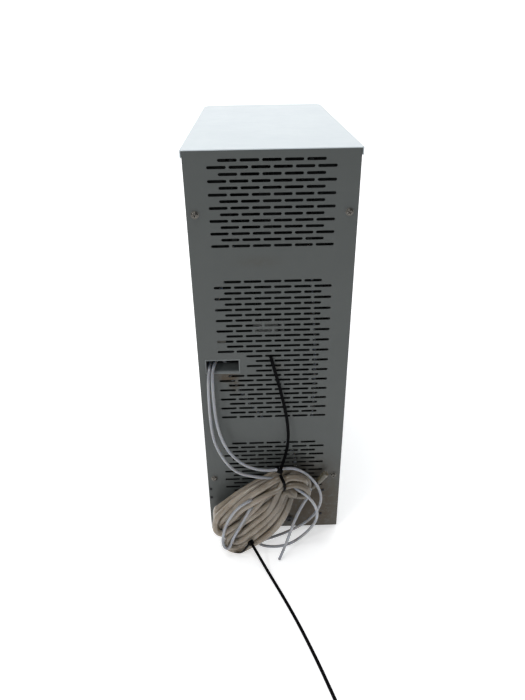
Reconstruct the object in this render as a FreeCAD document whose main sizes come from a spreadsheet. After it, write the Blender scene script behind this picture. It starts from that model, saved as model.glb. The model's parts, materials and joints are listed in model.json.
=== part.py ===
"""Ultraviolet water clarifier built into a tall vented sheet-metal cabinet.

The cabinet stands on its feet with its front towards -Y and its vented rear
panel towards +Y.  The origin is on the floor, under the middle of the cabinet.
Water comes in and goes out by two thin tubes through a port in the rear panel;
they hang down the back together with a tied hank of spare drain hose.
All lengths are in millimetres.
"""
import FreeCAD, Part
import math
import os
import re

import Sketcher

V = FreeCAD.Vector

DIMENSIONS = {
    # cabinet
    "body_width": 229, "body_depth": 500, "body_bottom": 8, "body_top": 670.5, "sheet": 1.2,
    "corner_radius": 15, "front_return": 40, "flange": 20, "pan_height": 20, "joint_gap": 0.2,
    # lid
    "lid_width": 233, "lid_top": 672, "lid_lip": 10, "lid_front": 252, "lid_rear": 251,
    "lid_corner": 16.5,
    # rear panel vents
    "slot_length": 25, "slot_height": 4, "slot_pitch": 28.6, "row_pitch": 8.7,
    "top_vent": 658.5, "middle_vent": 492.8, "bottom_vent": 203.6,
    # tube port in the rear panel
    "port_left": 50.8, "port_right": 104.7, "port_bottom": 340.5, "port_top": 366.4,
    "port_depth": 28, "port_wall": 2, "port_sill": 4,
    # rear panel fixings
    "screw_side": 103, "screw_low": 129, "screw_high": 589.5,
    "screw_head": 4.5, "screw_head_height": 2.2, "washer_height": 0.8, "screw_shank": 2,
    "small_head": 2.6, "small_head_height": 1.2, "small_shank": 1.4,
    # feet
    "foot_radius": 14, "foot_side": 85, "foot_end": 215,
    # inner plate that carries the equipment
    "plate_front": 20, "plate_thick": 1.5, "plate_low": 9.4, "plate_high": 612, "plate_side": 105,
    # ultraviolet reactor
    "reactor_side": 55, "reactor_back": -20, "reactor_radius": 31.75, "reactor_wall": 1.5,
    "reactor_low": 70, "reactor_high": 540, "nozzle_radius": 7, "nozzle_bore": 3.1,
    "sleeve_radius": 11.5, "sleeve_wall": 1.5, "lamp_radius": 8, "lamp_low": 92, "lamp_high": 560,
    # prefilter
    "filter_side": -55, "filter_back": -30, "bowl_radius": 36, "bowl_wall": 3,
    "bowl_low": 180, "bowl_high": 430, "head_radius": 42, "head_high": 480,
    # pump
    "pump_side": -40, "pump_height": 82, "motor_radius": 45, "motor_front": 60, "motor_rear": 160,
    "volute_rear": 186, "volute_radius": 50, "cover_rear": 194, "rotor_radius": 14,
    "shaft_radius": 4, "impeller_radius": 35, "running_gap": 0.05,
    # fan
    "fan_height": 600, "fan_half": 60, "fan_inner": 204, "fan_outer": 229, "fan_bore": 57,
    "fan_hub": 20, "fan_ear": 113, "fan_blade_tip": 55, "fan_hole_pitch": 52.5,
    # electrics
    "inlet_side": 50, "inlet_height": 50, "trim_proud": 3, "drain_side": -27, "drain_height": 27,
    # front controls
    "switch_height": 560, "switch_half_width": 11, "switch_half_height": 14,
    "rocker_gap": 0.4, "rocker_pivot": 4, "rocker_rest": 7,
    "lamp_height": 505, "lens_radius": 4, "sight_height": 400, "sight_radius": 22,
    # hoses and straps
    "tube_diameter": 5, "hose_diameter": 11, "inner_hose": 6, "lead_diameter": 4,
    "strap_diameter": 2.8, "hank_thickness": 34, "hank_lean": 6.8, "hank_middle": 290.5,
}

doc = FreeCAD.newDocument("clarifier")
dims = doc.addObject("Spreadsheet::Sheet", "dims")
for row, (word, size) in enumerate(DIMENSIONS.items(), 1):
    dims.set(f"A{row}", word)
    dims.set(f"B{row}", str(size))
    dims.setAlias(f"B{row}", word)
doc.recompute()

NODES = []


# ---------------------------------------------------------------- helpers

def expand(text):
    """An expression in the sheet's own words, with each word made a cell reference."""
    return re.sub(r"[a-z_]+", lambda m: f"dims.{m[0]}" if m[0] in DIMENSIONS else m[0], str(text))


def value(text):
    """What an expression is worth."""
    return float(dims.evalExpression(expand(text)))


def bind(thing, prop, text):
    thing.setExpression(prop, expand(text))


def place(thing, x, y, z, turn=None):
    """Put a thing at a bound place, turned about an axis when turn = (axis, degrees)."""
    if turn:
        thing.Placement = FreeCAD.Placement(V(), FreeCAD.Rotation(turn[0], turn[1]))
    for axis, text in zip("xyz", (x, y, z)):
        bind(thing, f".Placement.Base.{axis}", text)
    return thing


def node(thing, name):
    """Name a finished sub-part: its label is the name of its file."""
    thing.Label = name
    NODES.append(thing)
    return thing


def box(name, x, y, z):
    """A block between three (low, high) pairs."""
    block = doc.addObject("Part::Box", name)
    for prop, (low, high) in zip(("Length", "Width", "Height"), (x, y, z)):
        bind(block, prop, f"({high}) - ({low})")
    return place(block, x[0], y[0], z[0])


AXIS_TURN = {"x": (V(0, 1, 0), 90), "y": (V(1, 0, 0), -90), "z": None}


def spot_at(axis, spot, along):
    """A place from its two coordinates across an axis and one along it."""
    across = iter(spot)
    return [along if letter == axis else next(across) for letter in "xyz"]


def rod(name, spot, radius, span, axis="z"):
    """A cylinder along an axis, from span[0] to span[1]."""
    cylinder = doc.addObject("Part::Cylinder", name)
    bind(cylinder, "Radius", radius)
    bind(cylinder, "Height", f"({span[1]}) - ({span[0]})")
    return place(cylinder, *spot_at(axis, spot, span[0]), turn=AXIS_TURN[axis])


def rods(name, spots, radius, span, axis="z"):
    return [rod(f"{name}_{i}", spot, radius, span, axis) for i, spot in enumerate(spots, 1)]


def torus(name, spot, along, big, small, axis="z"):
    ring = doc.addObject("Part::Torus", name)
    bind(ring, "Radius1", big)
    bind(ring, "Radius2", small)
    return place(ring, *spot_at(axis, spot, along), turn=AXIS_TURN[axis])


def group(name, *things):
    """Separate solids that share one node, or tools that cut together."""
    several = doc.addObject("Part::Compound", name)
    several.Links = list(things)
    return several


def fuse(name, *things):
    joined = doc.addObject("Part::MultiFuse", name)
    joined.Shapes = list(things)
    joined.Refine = True
    return joined


def cut(name, base, *tools):
    less = doc.addObject("Part::Cut", name)
    less.Base = base
    less.Tool = tools[0] if len(tools) == 1 else group(f"{name}_tools", *tools)
    less.Refine = True
    return less


def body(name):
    return doc.addObject("PartDesign::Body", name)


def plane(part, role):
    return next(item for item in part.Origin.OriginFeatures if item.Role == role)


def sketch(part, name, role, offset="0"):
    """A sketch on one of the body's own origin planes, moved along the plane's normal."""
    drawing = part.newObject("Sketcher::SketchObject", name)
    drawing.AttachmentSupport = [(plane(part, role), "")]
    drawing.MapMode = "FlatFace"
    bind(drawing, ".AttachmentOffset.Base.z", offset)
    return drawing


def pin(drawing, kind, *place_and_size):
    """A constraint whose size is an expression."""
    *where, text = place_and_size
    index = drawing.addConstraint(Sketcher.Constraint(kind, *where, value(text)))
    bind(drawing, f"Constraints[{index}]", text)


def draw_polygon(drawing, corners):
    ends = [V(value(u), value(v), 0) for u, v in corners]
    lines = [drawing.addGeometry(Part.LineSegment(a, b)) for a, b in zip(ends, ends[1:] + ends[:1])]
    for line, following in zip(lines, lines[1:] + lines[:1]):
        drawing.addConstraint(Sketcher.Constraint("Coincident", line, 2, following, 1))
    for line, (u, v) in zip(lines, corners):
        pin(drawing, "DistanceX", -1, 1, line, 1, u)
        pin(drawing, "DistanceY", -1, 1, line, 1, v)


def rectangle(drawing, u, v):
    draw_polygon(drawing, [(u[0], v[0]), (u[1], v[0]), (u[1], v[1]), (u[0], v[1])])


def draw_circle(drawing, u, v, radius):
    circle = drawing.addGeometry(Part.Circle(V(value(u), value(v), 0), V(0, 0, 1), value(radius)))
    pin(drawing, "DistanceX", -1, 1, circle, 3, u)
    pin(drawing, "DistanceY", -1, 1, circle, 3, v)
    pin(drawing, "Radius", circle, radius)


def draw_wrap(drawing, half, front, rear, radius):
    """An outline that is square at the rear and rounded at both front corners."""
    side, near, far, turn = value(half), value(front), value(rear), value(radius)
    up, quarter = V(0, 0, 1), math.pi / 2
    left = drawing.addGeometry(Part.LineSegment(V(-side, far, 0), V(-side, near + turn, 0)))
    left_turn = drawing.addGeometry(Part.ArcOfCircle(
        Part.Circle(V(turn - side, near + turn, 0), up, turn), 2 * quarter, 3 * quarter))
    face = drawing.addGeometry(Part.LineSegment(V(turn - side, near, 0), V(side - turn, near, 0)))
    right_turn = drawing.addGeometry(Part.ArcOfCircle(
        Part.Circle(V(side - turn, near + turn, 0), up, turn), 3 * quarter, 4 * quarter))
    right = drawing.addGeometry(Part.LineSegment(V(side, near + turn, 0), V(side, far, 0)))
    back = drawing.addGeometry(Part.LineSegment(V(side, far, 0), V(-side, far, 0)))
    for a, b in ((left, left_turn), (left_turn, face), (face, right_turn), (right_turn, right)):
        drawing.addConstraint(Sketcher.Constraint("Tangent", a, 2, b, 1))
    for a, b in ((right, back), (back, left)):
        drawing.addConstraint(Sketcher.Constraint("Coincident", a, 2, b, 1))
    drawing.addConstraint(Sketcher.Constraint("Vertical", left))
    drawing.addConstraint(Sketcher.Constraint("Vertical", right))
    for arc, sign in ((left_turn, "-1"), (right_turn, "1")):
        pin(drawing, "DistanceX", -1, 1, arc, 3, f"{sign} * ({half} - ({radius}))")
        pin(drawing, "DistanceY", -1, 1, arc, 3, f"{front} + {radius}")
        pin(drawing, "Radius", arc, radius)
    pin(drawing, "DistanceY", -1, 1, left, 1, rear)
    pin(drawing, "DistanceY", -1, 1, right, 2, rear)


def pad(part, drawing, length, both_ways=False, reverse=False):
    feature = part.newObject("PartDesign::Pad", f"{drawing.Name}_pad")
    feature.Profile = drawing
    bind(feature, "Length", length)
    feature.Midplane = both_ways
    feature.Reversed = reverse
    return feature


def pocket(part, drawing, length=None, reverse=False):
    """Cut the sketch's shape out of the body, right through unless a length is given."""
    feature = part.newObject("PartDesign::Pocket", f"{drawing.Name}_cut")
    feature.Profile = drawing
    feature.Reversed = reverse
    if length is None:
        feature.Type = "ThroughAll"
        feature.Midplane = True
    else:
        bind(feature, "Length", length)
    return feature


def round_edges(part, feature, radius, test):
    """Fillet the edges whose middle point passes the test."""
    doc.recompute()
    names = [f"Edge{i}" for i, edge in enumerate(feature.Shape.Edges, 1)
             if test(edge, edge.valueAt((edge.FirstParameter + edge.LastParameter) / 2))]
    fillet = part.newObject("PartDesign::Fillet", f"{feature.Name}_round")
    fillet.Base = (feature, names)
    bind(fillet, "Radius", radius)
    return fillet


def turned(name, profile, x, y, z, turn=None):
    """A body revolved from (radius, height) corners about its own upright axis."""
    part = body(name)
    drawing = sketch(part, f"{name}_profile", "XZ_Plane")
    draw_polygon(drawing, profile)
    spin = part.newObject("PartDesign::Revolution", f"{name}_spin")
    spin.Profile = drawing
    spin.ReferenceAxis = (drawing, ["V_Axis"])
    spin.Angle = 360
    return place(part, x, y, z, turn)


# ---------------------------------------------------------------- cabinet

def base_pan():
    part = body("pan")
    outline = sketch(part, "pan_outline", "XY_Plane", "body_bottom")
    draw_wrap(outline, "body_width/2 - 2", "-body_depth/2 + 3", "body_depth/2 - 3", "corner_radius")
    pad(part, outline, "pan_height")
    inside = sketch(part, "pan_inside", "XY_Plane", "body_bottom + sheet")
    draw_wrap(inside, "body_width/2 - 2 - sheet", "-body_depth/2 + 3 + sheet", "body_depth/2 - 3 - sheet",
              "corner_radius - sheet")
    pocket(part, inside, "pan_height", reverse=True)
    drains = sketch(part, "pan_holes", "XY_Plane", "body_bottom")
    for side in ("-foot_side", "foot_side"):
        for end in ("-foot_end", "foot_end"):
            draw_circle(drains, side, end, "screw_shank + 0.2")
    pocket(part, drains)
    relief = sketch(part, "pan_relief", "XZ_Plane", "-body_depth/2")
    draw_circle(relief, "drain_side", "drain_height", "6.5")
    pocket(part, relief, "6", reverse=True)
    return node(part, "base_pan")


def side_panels():
    """The right side panel is bent from one sheet; the left one is its mirror image."""
    part = body("side")
    section = sketch(part, "side_section", "XY_Plane", "body_bottom + joint_gap")
    outer, inner = "body_width/2", "body_width/2 - sheet"
    front, rear = "-body_depth/2 + front_return + joint_gap", "body_depth/2 - sheet - joint_gap"
    draw_polygon(section, [
        (outer, front), (outer, rear), (f"{outer} - flange", rear), (f"{outer} - flange", f"{rear} - sheet"),
        (inner, f"{rear} - sheet"), (inner, front)])
    pad(part, section, "body_top - body_bottom - joint_gap")
    above_pan = "body_bottom + pan_height + joint_gap"
    return_flange = sketch(part, "side_return", "XY_Plane", above_pan)
    rectangle(return_flange, (f"{outer} - flange", outer), (front, f"{front} + sheet"))
    pad(part, return_flange, f"body_top - ({above_pan})")
    top = sketch(part, "side_top", "XY_Plane", "body_top - sheet")
    rectangle(top, ("body_width/2 - 12", "body_width/2"), (f"{front}", f"{rear}"))
    pad(part, top, "sheet")
    openings = sketch(part, "side_openings", "XZ_Plane", "-body_depth/2")
    rectangle(openings, ("body_width/2 - flange - 1", "port_right + 0.5"),
              ("port_bottom - 0.5", "port_top + 0.5"))
    for height in ("screw_low", "screw_high"):
        draw_circle(openings, "screw_side", height, "screw_shank + 0.1")
    for height in ("104", "84.5"):
        draw_circle(openings, "111", height, "small_shank + 0.1")
    pocket(part, openings, "front_return", reverse=True)
    node(part, "side_panel_right")
    mirror = doc.addObject("Part::Mirroring", "side_mirror")
    mirror.Source = part
    mirror.Normal = V(1, 0, 0)
    node(mirror, "side_panel_left")


def front_panel():
    """A sheet wrapped round both front corners, with openings for the controls."""
    part = body("front")
    outline = sketch(part, "front_outline", "XY_Plane", "body_bottom")
    draw_wrap(outline, "body_width/2", "-body_depth/2", "-body_depth/2 + front_return", "corner_radius")
    pad(part, outline, "body_top - body_bottom")
    inside = sketch(part, "front_inside", "XY_Plane", "body_bottom")
    draw_wrap(inside, "body_width/2 - sheet", "-body_depth/2 + sheet", "-body_depth/2 + front_return + 1",
              "corner_radius - sheet")
    pocket(part, inside, "body_top - body_bottom", reverse=True)
    openings = sketch(part, "front_openings", "XZ_Plane", "body_depth/2")
    rectangle(openings, ("-switch_half_width - 0.2", "switch_half_width + 0.2"),
              ("switch_height - switch_half_height - 0.2", "switch_height + switch_half_height + 0.2"))
    for side in ("-12", "12"):
        draw_circle(openings, side, "lamp_height", "lens_radius + 0.1")
    draw_circle(openings, "0", "sight_height", "sight_radius")
    pocket(part, openings, "sheet * 2", reverse=False)
    return node(part, "front_panel")


def slot_rows():
    """The staggered rows of the vents: where each slot's middle is across and up the panel."""
    pitch, drop = value("slot_pitch"), value("row_pitch")
    for field, count in (("top_vent", 14), ("middle_vent", 28), ("bottom_vent", 13)):
        for row in range(count):
            height = value(field) - row * drop
            slots = 5 + row % 2
            # beside the tube port the rows stop short of it
            beside_port = field == "middle_vent" and 14 <= row <= 17
            for slot in range(4 if beside_port else slots):
                yield (slot - (slots - 1) / 2) * pitch, height


def vent_slots():
    """The punch for every slot with round ends, as one set of separate solids."""
    radius, half = value("slot_height") / 2, value("slot_length - slot_height") / 2
    face, through = value("body_depth/2 + 1"), V(0, -value("sheet + 2"), 0)
    punches = []
    for across, height in slot_rows():
        def at(x, z):
            return V(across + x, face, height + z)
        outline = Part.Wire([
            Part.LineSegment(at(-half, -radius), at(half, -radius)).toShape(),
            Part.Arc(at(half, -radius), at(half + radius, 0), at(half, radius)).toShape(),
            Part.LineSegment(at(half, radius), at(-half, radius)).toShape(),
            Part.Arc(at(-half, radius), at(-half - radius, 0), at(-half, -radius)).toShape()])
        punches.append(Part.Face(outline).extrude(through))
    feature = doc.addObject("Part::Feature", "vent_slots")
    feature.Shape = Part.makeCompound(punches)
    return feature


def rear_panel():
    """The vented panel: staggered rows of five and six slots in three fields."""
    part = body("rear")
    outline = sketch(part, "rear_outline", "XZ_Plane", "-body_depth/2")
    rectangle(outline, ("-body_width/2", "body_width/2"), ("body_bottom", "body_top"))
    pad(part, outline, "sheet")
    openings = sketch(part, "rear_openings", "XZ_Plane", "-body_depth/2")
    rectangle(openings, ("port_left", "port_right"), ("port_bottom", "port_top"))
    rectangle(openings, ("inlet_side - 14", "inlet_side + 14"),
              ("inlet_height - 10.2", "inlet_height + 10.2"))
    for side, height in rear_screw_spots():
        draw_circle(openings, side, height, "screw_shank + 0.1")
    for side, height in small_screw_spots():
        draw_circle(openings, side, height, "small_shank + 0.1")
    draw_circle(openings, "drain_side", "drain_height", "6.1")
    pocket(part, openings)
    return node(cut("rear_vented", part, vent_slots()), "rear_panel")


def lid():
    """A lift-off cover with a turned-down lip on three sides and none at the rear."""
    part = body("lid_body")
    outline = sketch(part, "lid_outline", "XY_Plane", "lid_top - lid_lip")
    draw_wrap(outline, "lid_width/2", "-lid_front", "lid_rear", "lid_corner")
    pad(part, outline, "lid_lip")
    inside = sketch(part, "lid_inside", "XY_Plane", "lid_top - lid_lip")
    draw_wrap(inside, "lid_width/2 - sheet", "-lid_front + sheet", "lid_rear + 1", "lid_corner - sheet")
    pocket(part, inside, "lid_lip - sheet", reverse=True)
    return node(part, "lid")


def tube_port_frame():
    """A short square duct behind the port, with a sill rounded towards the outside."""
    part = body("port_body")
    outline = sketch(part, "port_outline", "XZ_Plane", "-body_depth/2")
    sides, heights = ("port_left + 0.2", "port_right - 0.2"), ("port_bottom + 0.2", "port_top - 0.2")
    rectangle(outline, sides, heights)
    rectangle(outline, ("port_left + port_wall", "port_right - port_wall"),
              ("port_bottom + port_sill", "port_top - port_wall"))
    duct = pad(part, outline, "port_depth", reverse=False)

    def sill_edge(edge, middle):
        on_face = abs(middle.y - value("body_depth/2")) < 0.1
        return on_face and abs(middle.z - value("port_bottom + port_sill")) < 0.1

    round_edges(part, duct, "port_sill - 0.6", sill_edge)
    return node(part, "tube_port_frame")


def rear_screw_spots():
    return [(side, height) for side in ("-screw_side", "screw_side")
            for height in ("screw_low", "screw_high")]


def small_screw_spots():
    return [("89", "72"), ("-86", "95"), ("-84", "38"), ("111", "104"), ("111", "84.5")]


def pan_screws(name, spots, seat, point, radius, height, shank):
    """Pan-head screws along +Y: the head stands on the seat and the shank runs to the point."""
    screws = []
    for i, spot in enumerate(spots, 1):
        head = rod(f"{name}_head_{i}", spot, radius, (seat, f"{seat} + {height}"), "y")
        stem = rod(f"{name}_stem_{i}", spot, shank, (point, f"{seat} + {height} / 2"), "y")
        screws.append(fuse(f"{name}_{i}", head, stem))
    return screws


def rear_fixings():
    spots = rear_screw_spots()
    screws = pan_screws("rear_screw", spots, "body_depth/2 + washer_height", "body_depth/2 - 10",
                        "screw_head", "screw_head_height", "screw_shank")
    node(group("rear_screws", *screws), "rear_panel_screws")
    washers = [cut(f"washer_{i}", disc, hole) for i, (disc, hole) in enumerate(zip(
        rods("washer_disc", spots, "screw_head + 1", ("body_depth/2", "body_depth/2 + washer_height"), "y"),
        rods("washer_hole", spots, "screw_shank + 0.1", ("body_depth/2 - 1", "body_depth/2 + 2"), "y")), 1)]
    node(group("washers", *washers), "rear_screw_washers")
    small = pan_screws("small_screw", small_screw_spots(), "body_depth/2", "body_depth/2 - 7",
                       "small_head", "small_head_height", "small_shank")
    node(group("small_screws", *small), "bracket_screws")


def foot_spots():
    return [(side, end) for side in ("-foot_side", "foot_side") for end in ("-foot_end", "foot_end")]


def feet():
    """Turned rubber feet, each with a recess for its screw's head."""
    profile = [("screw_shank + 0.1", "2.5"), ("screw_head + 0.5", "2.5"), ("screw_head + 0.5", "0"),
               ("foot_radius - 2", "0"), ("foot_radius", "body_bottom"),
               ("screw_shank + 0.1", "body_bottom")]
    pieces = [turned(f"foot_{i}", profile, x, y, "0") for i, (x, y) in enumerate(foot_spots(), 1)]
    return node(group("foot_set", *pieces), "feet")


# ---------------------------------------------------------------- inner plate

def equipment_plate():
    """An upright plate across the cabinet, flanged at the foot, with passages for two hoses."""
    part = body("plate")
    outline = sketch(part, "plate_outline", "XZ_Plane", "-plate_front")
    rectangle(outline, ("-plate_side", "plate_side"), ("plate_low", "plate_high"))
    pad(part, outline, "plate_thick", reverse=True)
    shelf = sketch(part, "plate_shelf", "XY_Plane", "plate_low")
    rectangle(shelf, ("-plate_side", "plate_side"), ("plate_front", "plate_front + 22"))
    pad(part, shelf, "plate_thick")
    passages = sketch(part, "plate_passages", "XZ_Plane", "-plate_front")
    draw_circle(passages, "-71", "497", "12")
    draw_circle(passages, "reactor_side", "500", "10")
    pocket(part, passages)
    return node(part, "equipment_plate")


def machine_screws():
    """The screws that hold the feet and the fan."""
    screws = []
    for i, spot in enumerate(foot_spots(), 1):
        head = rod(f"foot_screw_head_{i}", spot, "screw_head", ("0.6", "2.5"))
        stem = rod(f"foot_screw_stem_{i}", spot, "screw_shank", ("1.5", "12"))
        screws.append(fuse(f"foot_screw_{i}", head, stem))
    screws += pan_screws("fan_screw", fan_hole_spots(), "fan_outer", "fan_inner - 6",
                         "3.6", "screw_head_height", "screw_shank")
    return node(group("screws", *screws), "machine_screws")


# ---------------------------------------------------------------- ultraviolet reactor

def reactor():
    at = ("reactor_side", "reactor_back")
    inner = "reactor_radius - reactor_wall"
    shell = rod("shell", at, "reactor_radius", ("reactor_low", "reactor_high"))
    stub_low = rod("stub_low", ("reactor_back", "110"), "nozzle_radius", ("5", "reactor_side"), "x")
    stub_high = rod("stub_high", ("reactor_side", "500"), "nozzle_radius", ("reactor_back", "45"), "y")
    bore = rod("shell_bore", at, inner, ("reactor_low - 1", "reactor_high + 1"))
    bore_low = rod("bore_low", ("reactor_back", "110"), "nozzle_bore", ("4", "reactor_side"), "x")
    bore_high = rod("bore_high", ("reactor_side", "500"), "nozzle_bore", ("reactor_back", "46"), "y")
    node(cut("reactor_shell", fuse("shell_stubs", shell, stub_low, stub_high), bore, bore_low, bore_high),
         "reactor_tube")
    node(turned("cap_low", [("0", "-4"), ("reactor_radius + 3", "-4"), ("reactor_radius + 3", "12"),
                            ("reactor_radius", "12"), ("reactor_radius", "0"), ("0", "0")],
                *at, "reactor_low"), "reactor_bottom_cap")
    node(turned("flange_high", [
        ("sleeve_radius + 0.2", "0"), ("reactor_radius", "0"), ("reactor_radius", "-12"),
        ("reactor_radius + 3", "-12"), ("reactor_radius + 3", "8"), ("18", "8"), ("18", "16"),
        ("sleeve_radius + 2.6", "16"), ("sleeve_radius + 2.6", "10"), ("sleeve_radius + 0.2", "10")],
        *at, "reactor_high"), "reactor_top_flange")
    node(turned("nut", [("18", "0"), ("22", "0"), ("22", "20"), ("lamp_radius + 1.2", "20"),
                        ("lamp_radius + 1.2", "16"), ("sleeve_radius + 3", "16"),
                        ("sleeve_radius + 3", "7.8"),
                        ("18", "7.8")], *at, "reactor_high + 8.2"), "gland_nut")
    rings = [torus(f"ring_{i}", at, f"reactor_high + 10 + {height}", "sleeve_radius + 1.25", "1.2")
             for i, height in enumerate(("1.25", "3.7"), 1)]
    node(group("rings", *rings), "sleeve_orings")
    node(turned("sleeve", [
        ("0", "0"), ("sleeve_radius", "0"), ("sleeve_radius", "reactor_high + 23 - reactor_low - 10"),
        ("sleeve_radius - sleeve_wall", "reactor_high + 23 - reactor_low - 10"),
        ("sleeve_radius - sleeve_wall", "sleeve_wall"), ("0", "sleeve_wall")], *at, "reactor_low + 10"),
        "quartz_sleeve")
    node(rod("lamp_glass", at, "lamp_radius", ("lamp_low + 10", "lamp_high - 12")), "uv_lamp")
    caps = [rod("lamp_cap_low", at, "lamp_radius + 0.4", ("lamp_low", "lamp_low + 10")),
            rod("lamp_cap_high", at, "lamp_radius + 0.4", ("lamp_high - 12", "lamp_high + 4"))]
    node(group("lamp_caps", *caps), "lamp_end_caps")
    node(turned("boot", [("0", "0"), ("lamp_radius + 0.9", "0"), ("lamp_radius + 0.9", "22"), ("6", "30"),
                         ("3", "34"), ("0", "34")], *at, "lamp_high + 4"), "lamp_connector")
    clamps = []
    for i, height in enumerate(("170", "440"), 1):
        ring = rod(f"clamp_ring_{i}", at, "reactor_radius + 2.5", (f"{height} - 8", f"{height} + 8"))
        block = box(f"clamp_block_{i}", ("reactor_side - 18", "reactor_side + 18"),
                    ("reactor_back + reactor_radius - 8", "plate_front"), (f"{height} - 8", f"{height} + 8"))
        hole = rod(f"clamp_hole_{i}", at, "reactor_radius", (f"{height} - 9", f"{height} + 9"))
        clamps.append(cut(f"clamp_{i}", fuse(f"clamp_whole_{i}", ring, block), hole))
    node(group("clamps", *clamps), "reactor_clamps")


# ---------------------------------------------------------------- prefilter

def prefilter():
    at = ("filter_side", "filter_back")
    head = rod("head_disc", at, "head_radius", ("bowl_high", "head_high"))
    mount = box("head_mount", ("filter_side - 22", "filter_side + 22"), ("filter_back", "plate_front"),
                ("head_high - 24", "head_high - 2"))
    nozzles = rods("head_nozzle", [("-70", "filter_back"), ("-40", "filter_back")], "nozzle_radius",
                   ("head_high - 5", "head_high + 15"))
    socket = rod("head_socket", at, "bowl_radius + 0.1", ("bowl_high - 1", "bowl_high + 18"))
    ways = rods("head_way", [("-70", "filter_back"), ("-40", "filter_back")], "nozzle_bore",
                ("bowl_high + 10", "head_high + 16"))
    node(cut("head_whole", fuse("head_solid", head, mount, *nozzles), socket, *ways), "filter_head")
    inner = "bowl_radius - bowl_wall"
    node(turned("bowl", [
        ("0", "0"), ("bowl_radius - 8", "0"), ("bowl_radius", "8"),
        ("bowl_radius", "bowl_high - bowl_low + 15"), (inner, "bowl_high - bowl_low + 15"), (inner, "10"),
        ("bowl_radius - 10", "bowl_wall"), ("0", "bowl_wall")],
        *at, "bowl_low"), "filter_bowl")
    node(turned("cartridge", [
        ("13", "0"), ("29", "0"), ("29", "240"), ("13", "240")], *at, "bowl_low + bowl_wall + 7"),
         "filter_cartridge")


# ---------------------------------------------------------------- pump

def pump():
    at = ("pump_side", "pump_height")
    can = rod("can", at, "motor_radius", ("motor_front", "motor_rear"), "y")
    well = rod("can_well", at, "rotor_radius + 0.5", ("motor_front + 12", "motor_rear + 1"), "y")
    seat = rod("can_seat", at, "8", ("motor_front + 6", "motor_rear"), "y")
    node(cut("motor_can", can, well, seat), "pump_motor")
    inner_bush = cut("bush_inner",
                     rod("bush_inner_disc", at, "8", ("motor_front + 6", "motor_front + 12"), "y"),
                     rod("bush_inner_hole", at, "shaft_radius + running_gap",
                         ("motor_front + 5", "motor_front + 13"), "y"))
    outer_bush = cut("bush_outer", rod("bush_outer_disc", at, "rotor_radius + 0.5",
                                       ("motor_rear - 8", "motor_rear"), "y"),
                     rod("bush_outer_hole", at, "shaft_radius + running_gap",
                         ("motor_rear - 9", "motor_rear + 1"), "y"))
    node(group("bushes", inner_bush, outer_bush), "pump_bushes")
    shaft = rod("shaft", at, "shaft_radius", ("motor_front + 7", "volute_rear - 8"), "y")
    magnet = rod("magnet", at, "rotor_radius", ("motor_front + 13", "motor_rear - 9"), "y")
    node(fuse("rotor", shaft, magnet), "pump_rotor")
    back = rod("volute_disc", at, "volute_radius", ("motor_rear", "volute_rear"), "y")
    outlet = rod("outlet", ("pump_side - 32", "(motor_rear + volute_rear)/2"), "nozzle_radius",
                 ("pump_height", "pump_height + 68"))
    chamber = rod("chamber", at, "impeller_radius + 4", ("motor_rear + 6", "volute_rear + 1"), "y")
    shaft_way = rod("shaft_way", at, "shaft_radius + 0.5", ("motor_rear - 1", "motor_rear + 7"), "y")
    outlet_way = rod("outlet_way", ("pump_side - 32", "(motor_rear + volute_rear)/2"), "nozzle_bore",
                     ("pump_height", "pump_height + 69"))
    node(cut("volute", fuse("volute_solid", back, outlet), chamber, shaft_way, outlet_way), "pump_volute")
    lid_disc = rod("cover_disc", at, "volute_radius", ("volute_rear", "cover_rear"), "y")
    suction = rod("suction", at, "nozzle_radius", ("cover_rear - 1", "cover_rear + 20"), "y")
    riser = rod("riser", ("pump_side", "cover_rear + 21"), "nozzle_radius + 1.5",
                ("pump_height - 9", "pump_height + 25"))
    suction_way = rod("suction_way", at, "nozzle_bore", ("volute_rear - 1", "cover_rear + 21"), "y")
    riser_way = rod("riser_way", ("pump_side", "cover_rear + 21"), "nozzle_bore + 0.4",
                    ("pump_height - 4", "pump_height + 26"))
    node(cut("cover", fuse("cover_solid", lid_disc, suction, riser), suction_way, riser_way), "pump_cover")
    impeller_pump(at)
    plate = box("cradle_plate", ("pump_side - 55", "pump_side + 55"), ("motor_front + 5", "motor_rear - 5"),
                ("22", "24.5"))
    saddle = box("cradle_saddle", ("pump_side - 32", "pump_side + 32"),
                 ("motor_front + 15", "motor_rear - 15"),
                 ("24", "55"))
    trough = rod("cradle_trough", at, "motor_radius", ("motor_front", "motor_rear"), "y")
    node(cut("cradle", fuse("cradle_solid", plate, saddle), trough), "pump_bracket")
    spots = [(f"pump_side + {side}", f"(motor_front + motor_rear)/2 + {end}")
             for side in (-46, 46) for end in (-34, 34)]
    node(group("mounts", *rods("mount", spots, "8", ("body_bottom + sheet", "22"))), "pump_mounts")


def impeller_pump(at):
    """A closed disc with six straight vanes, pressed onto the end of the shaft."""
    disc = rod("impeller_disc", at, "impeller_radius", ("motor_rear + 8", "motor_rear + 11"), "y")
    hub = rod("impeller_hub", at, "shaft_radius + 4", ("motor_rear + 8", "volute_rear - 6"), "y")
    vanes = []
    for i in range(6):
        vane = doc.addObject("Part::Box", f"vane_{i + 1}")
        bind(vane, "Length", "impeller_radius - 7")
        bind(vane, "Width", "8")
        bind(vane, "Height", "2")
        turn = FreeCAD.Rotation(V(0, 1, 0), 60 * i)
        start = turn.multVec(V(6, 0, -1)) + V(value("pump_side"), 0, value("pump_height"))
        place(vane, start.x, "motor_rear + 10", start.z, (V(0, 1, 0), 60 * i))
        vanes.append(vane)
    hole = rod("impeller_hole", at, "shaft_radius", ("motor_rear", "volute_rear - 8"), "y")
    return node(cut("impeller", fuse("impeller_solid", disc, hub, *vanes), hole), "pump_impeller")


# ---------------------------------------------------------------- fan

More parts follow.
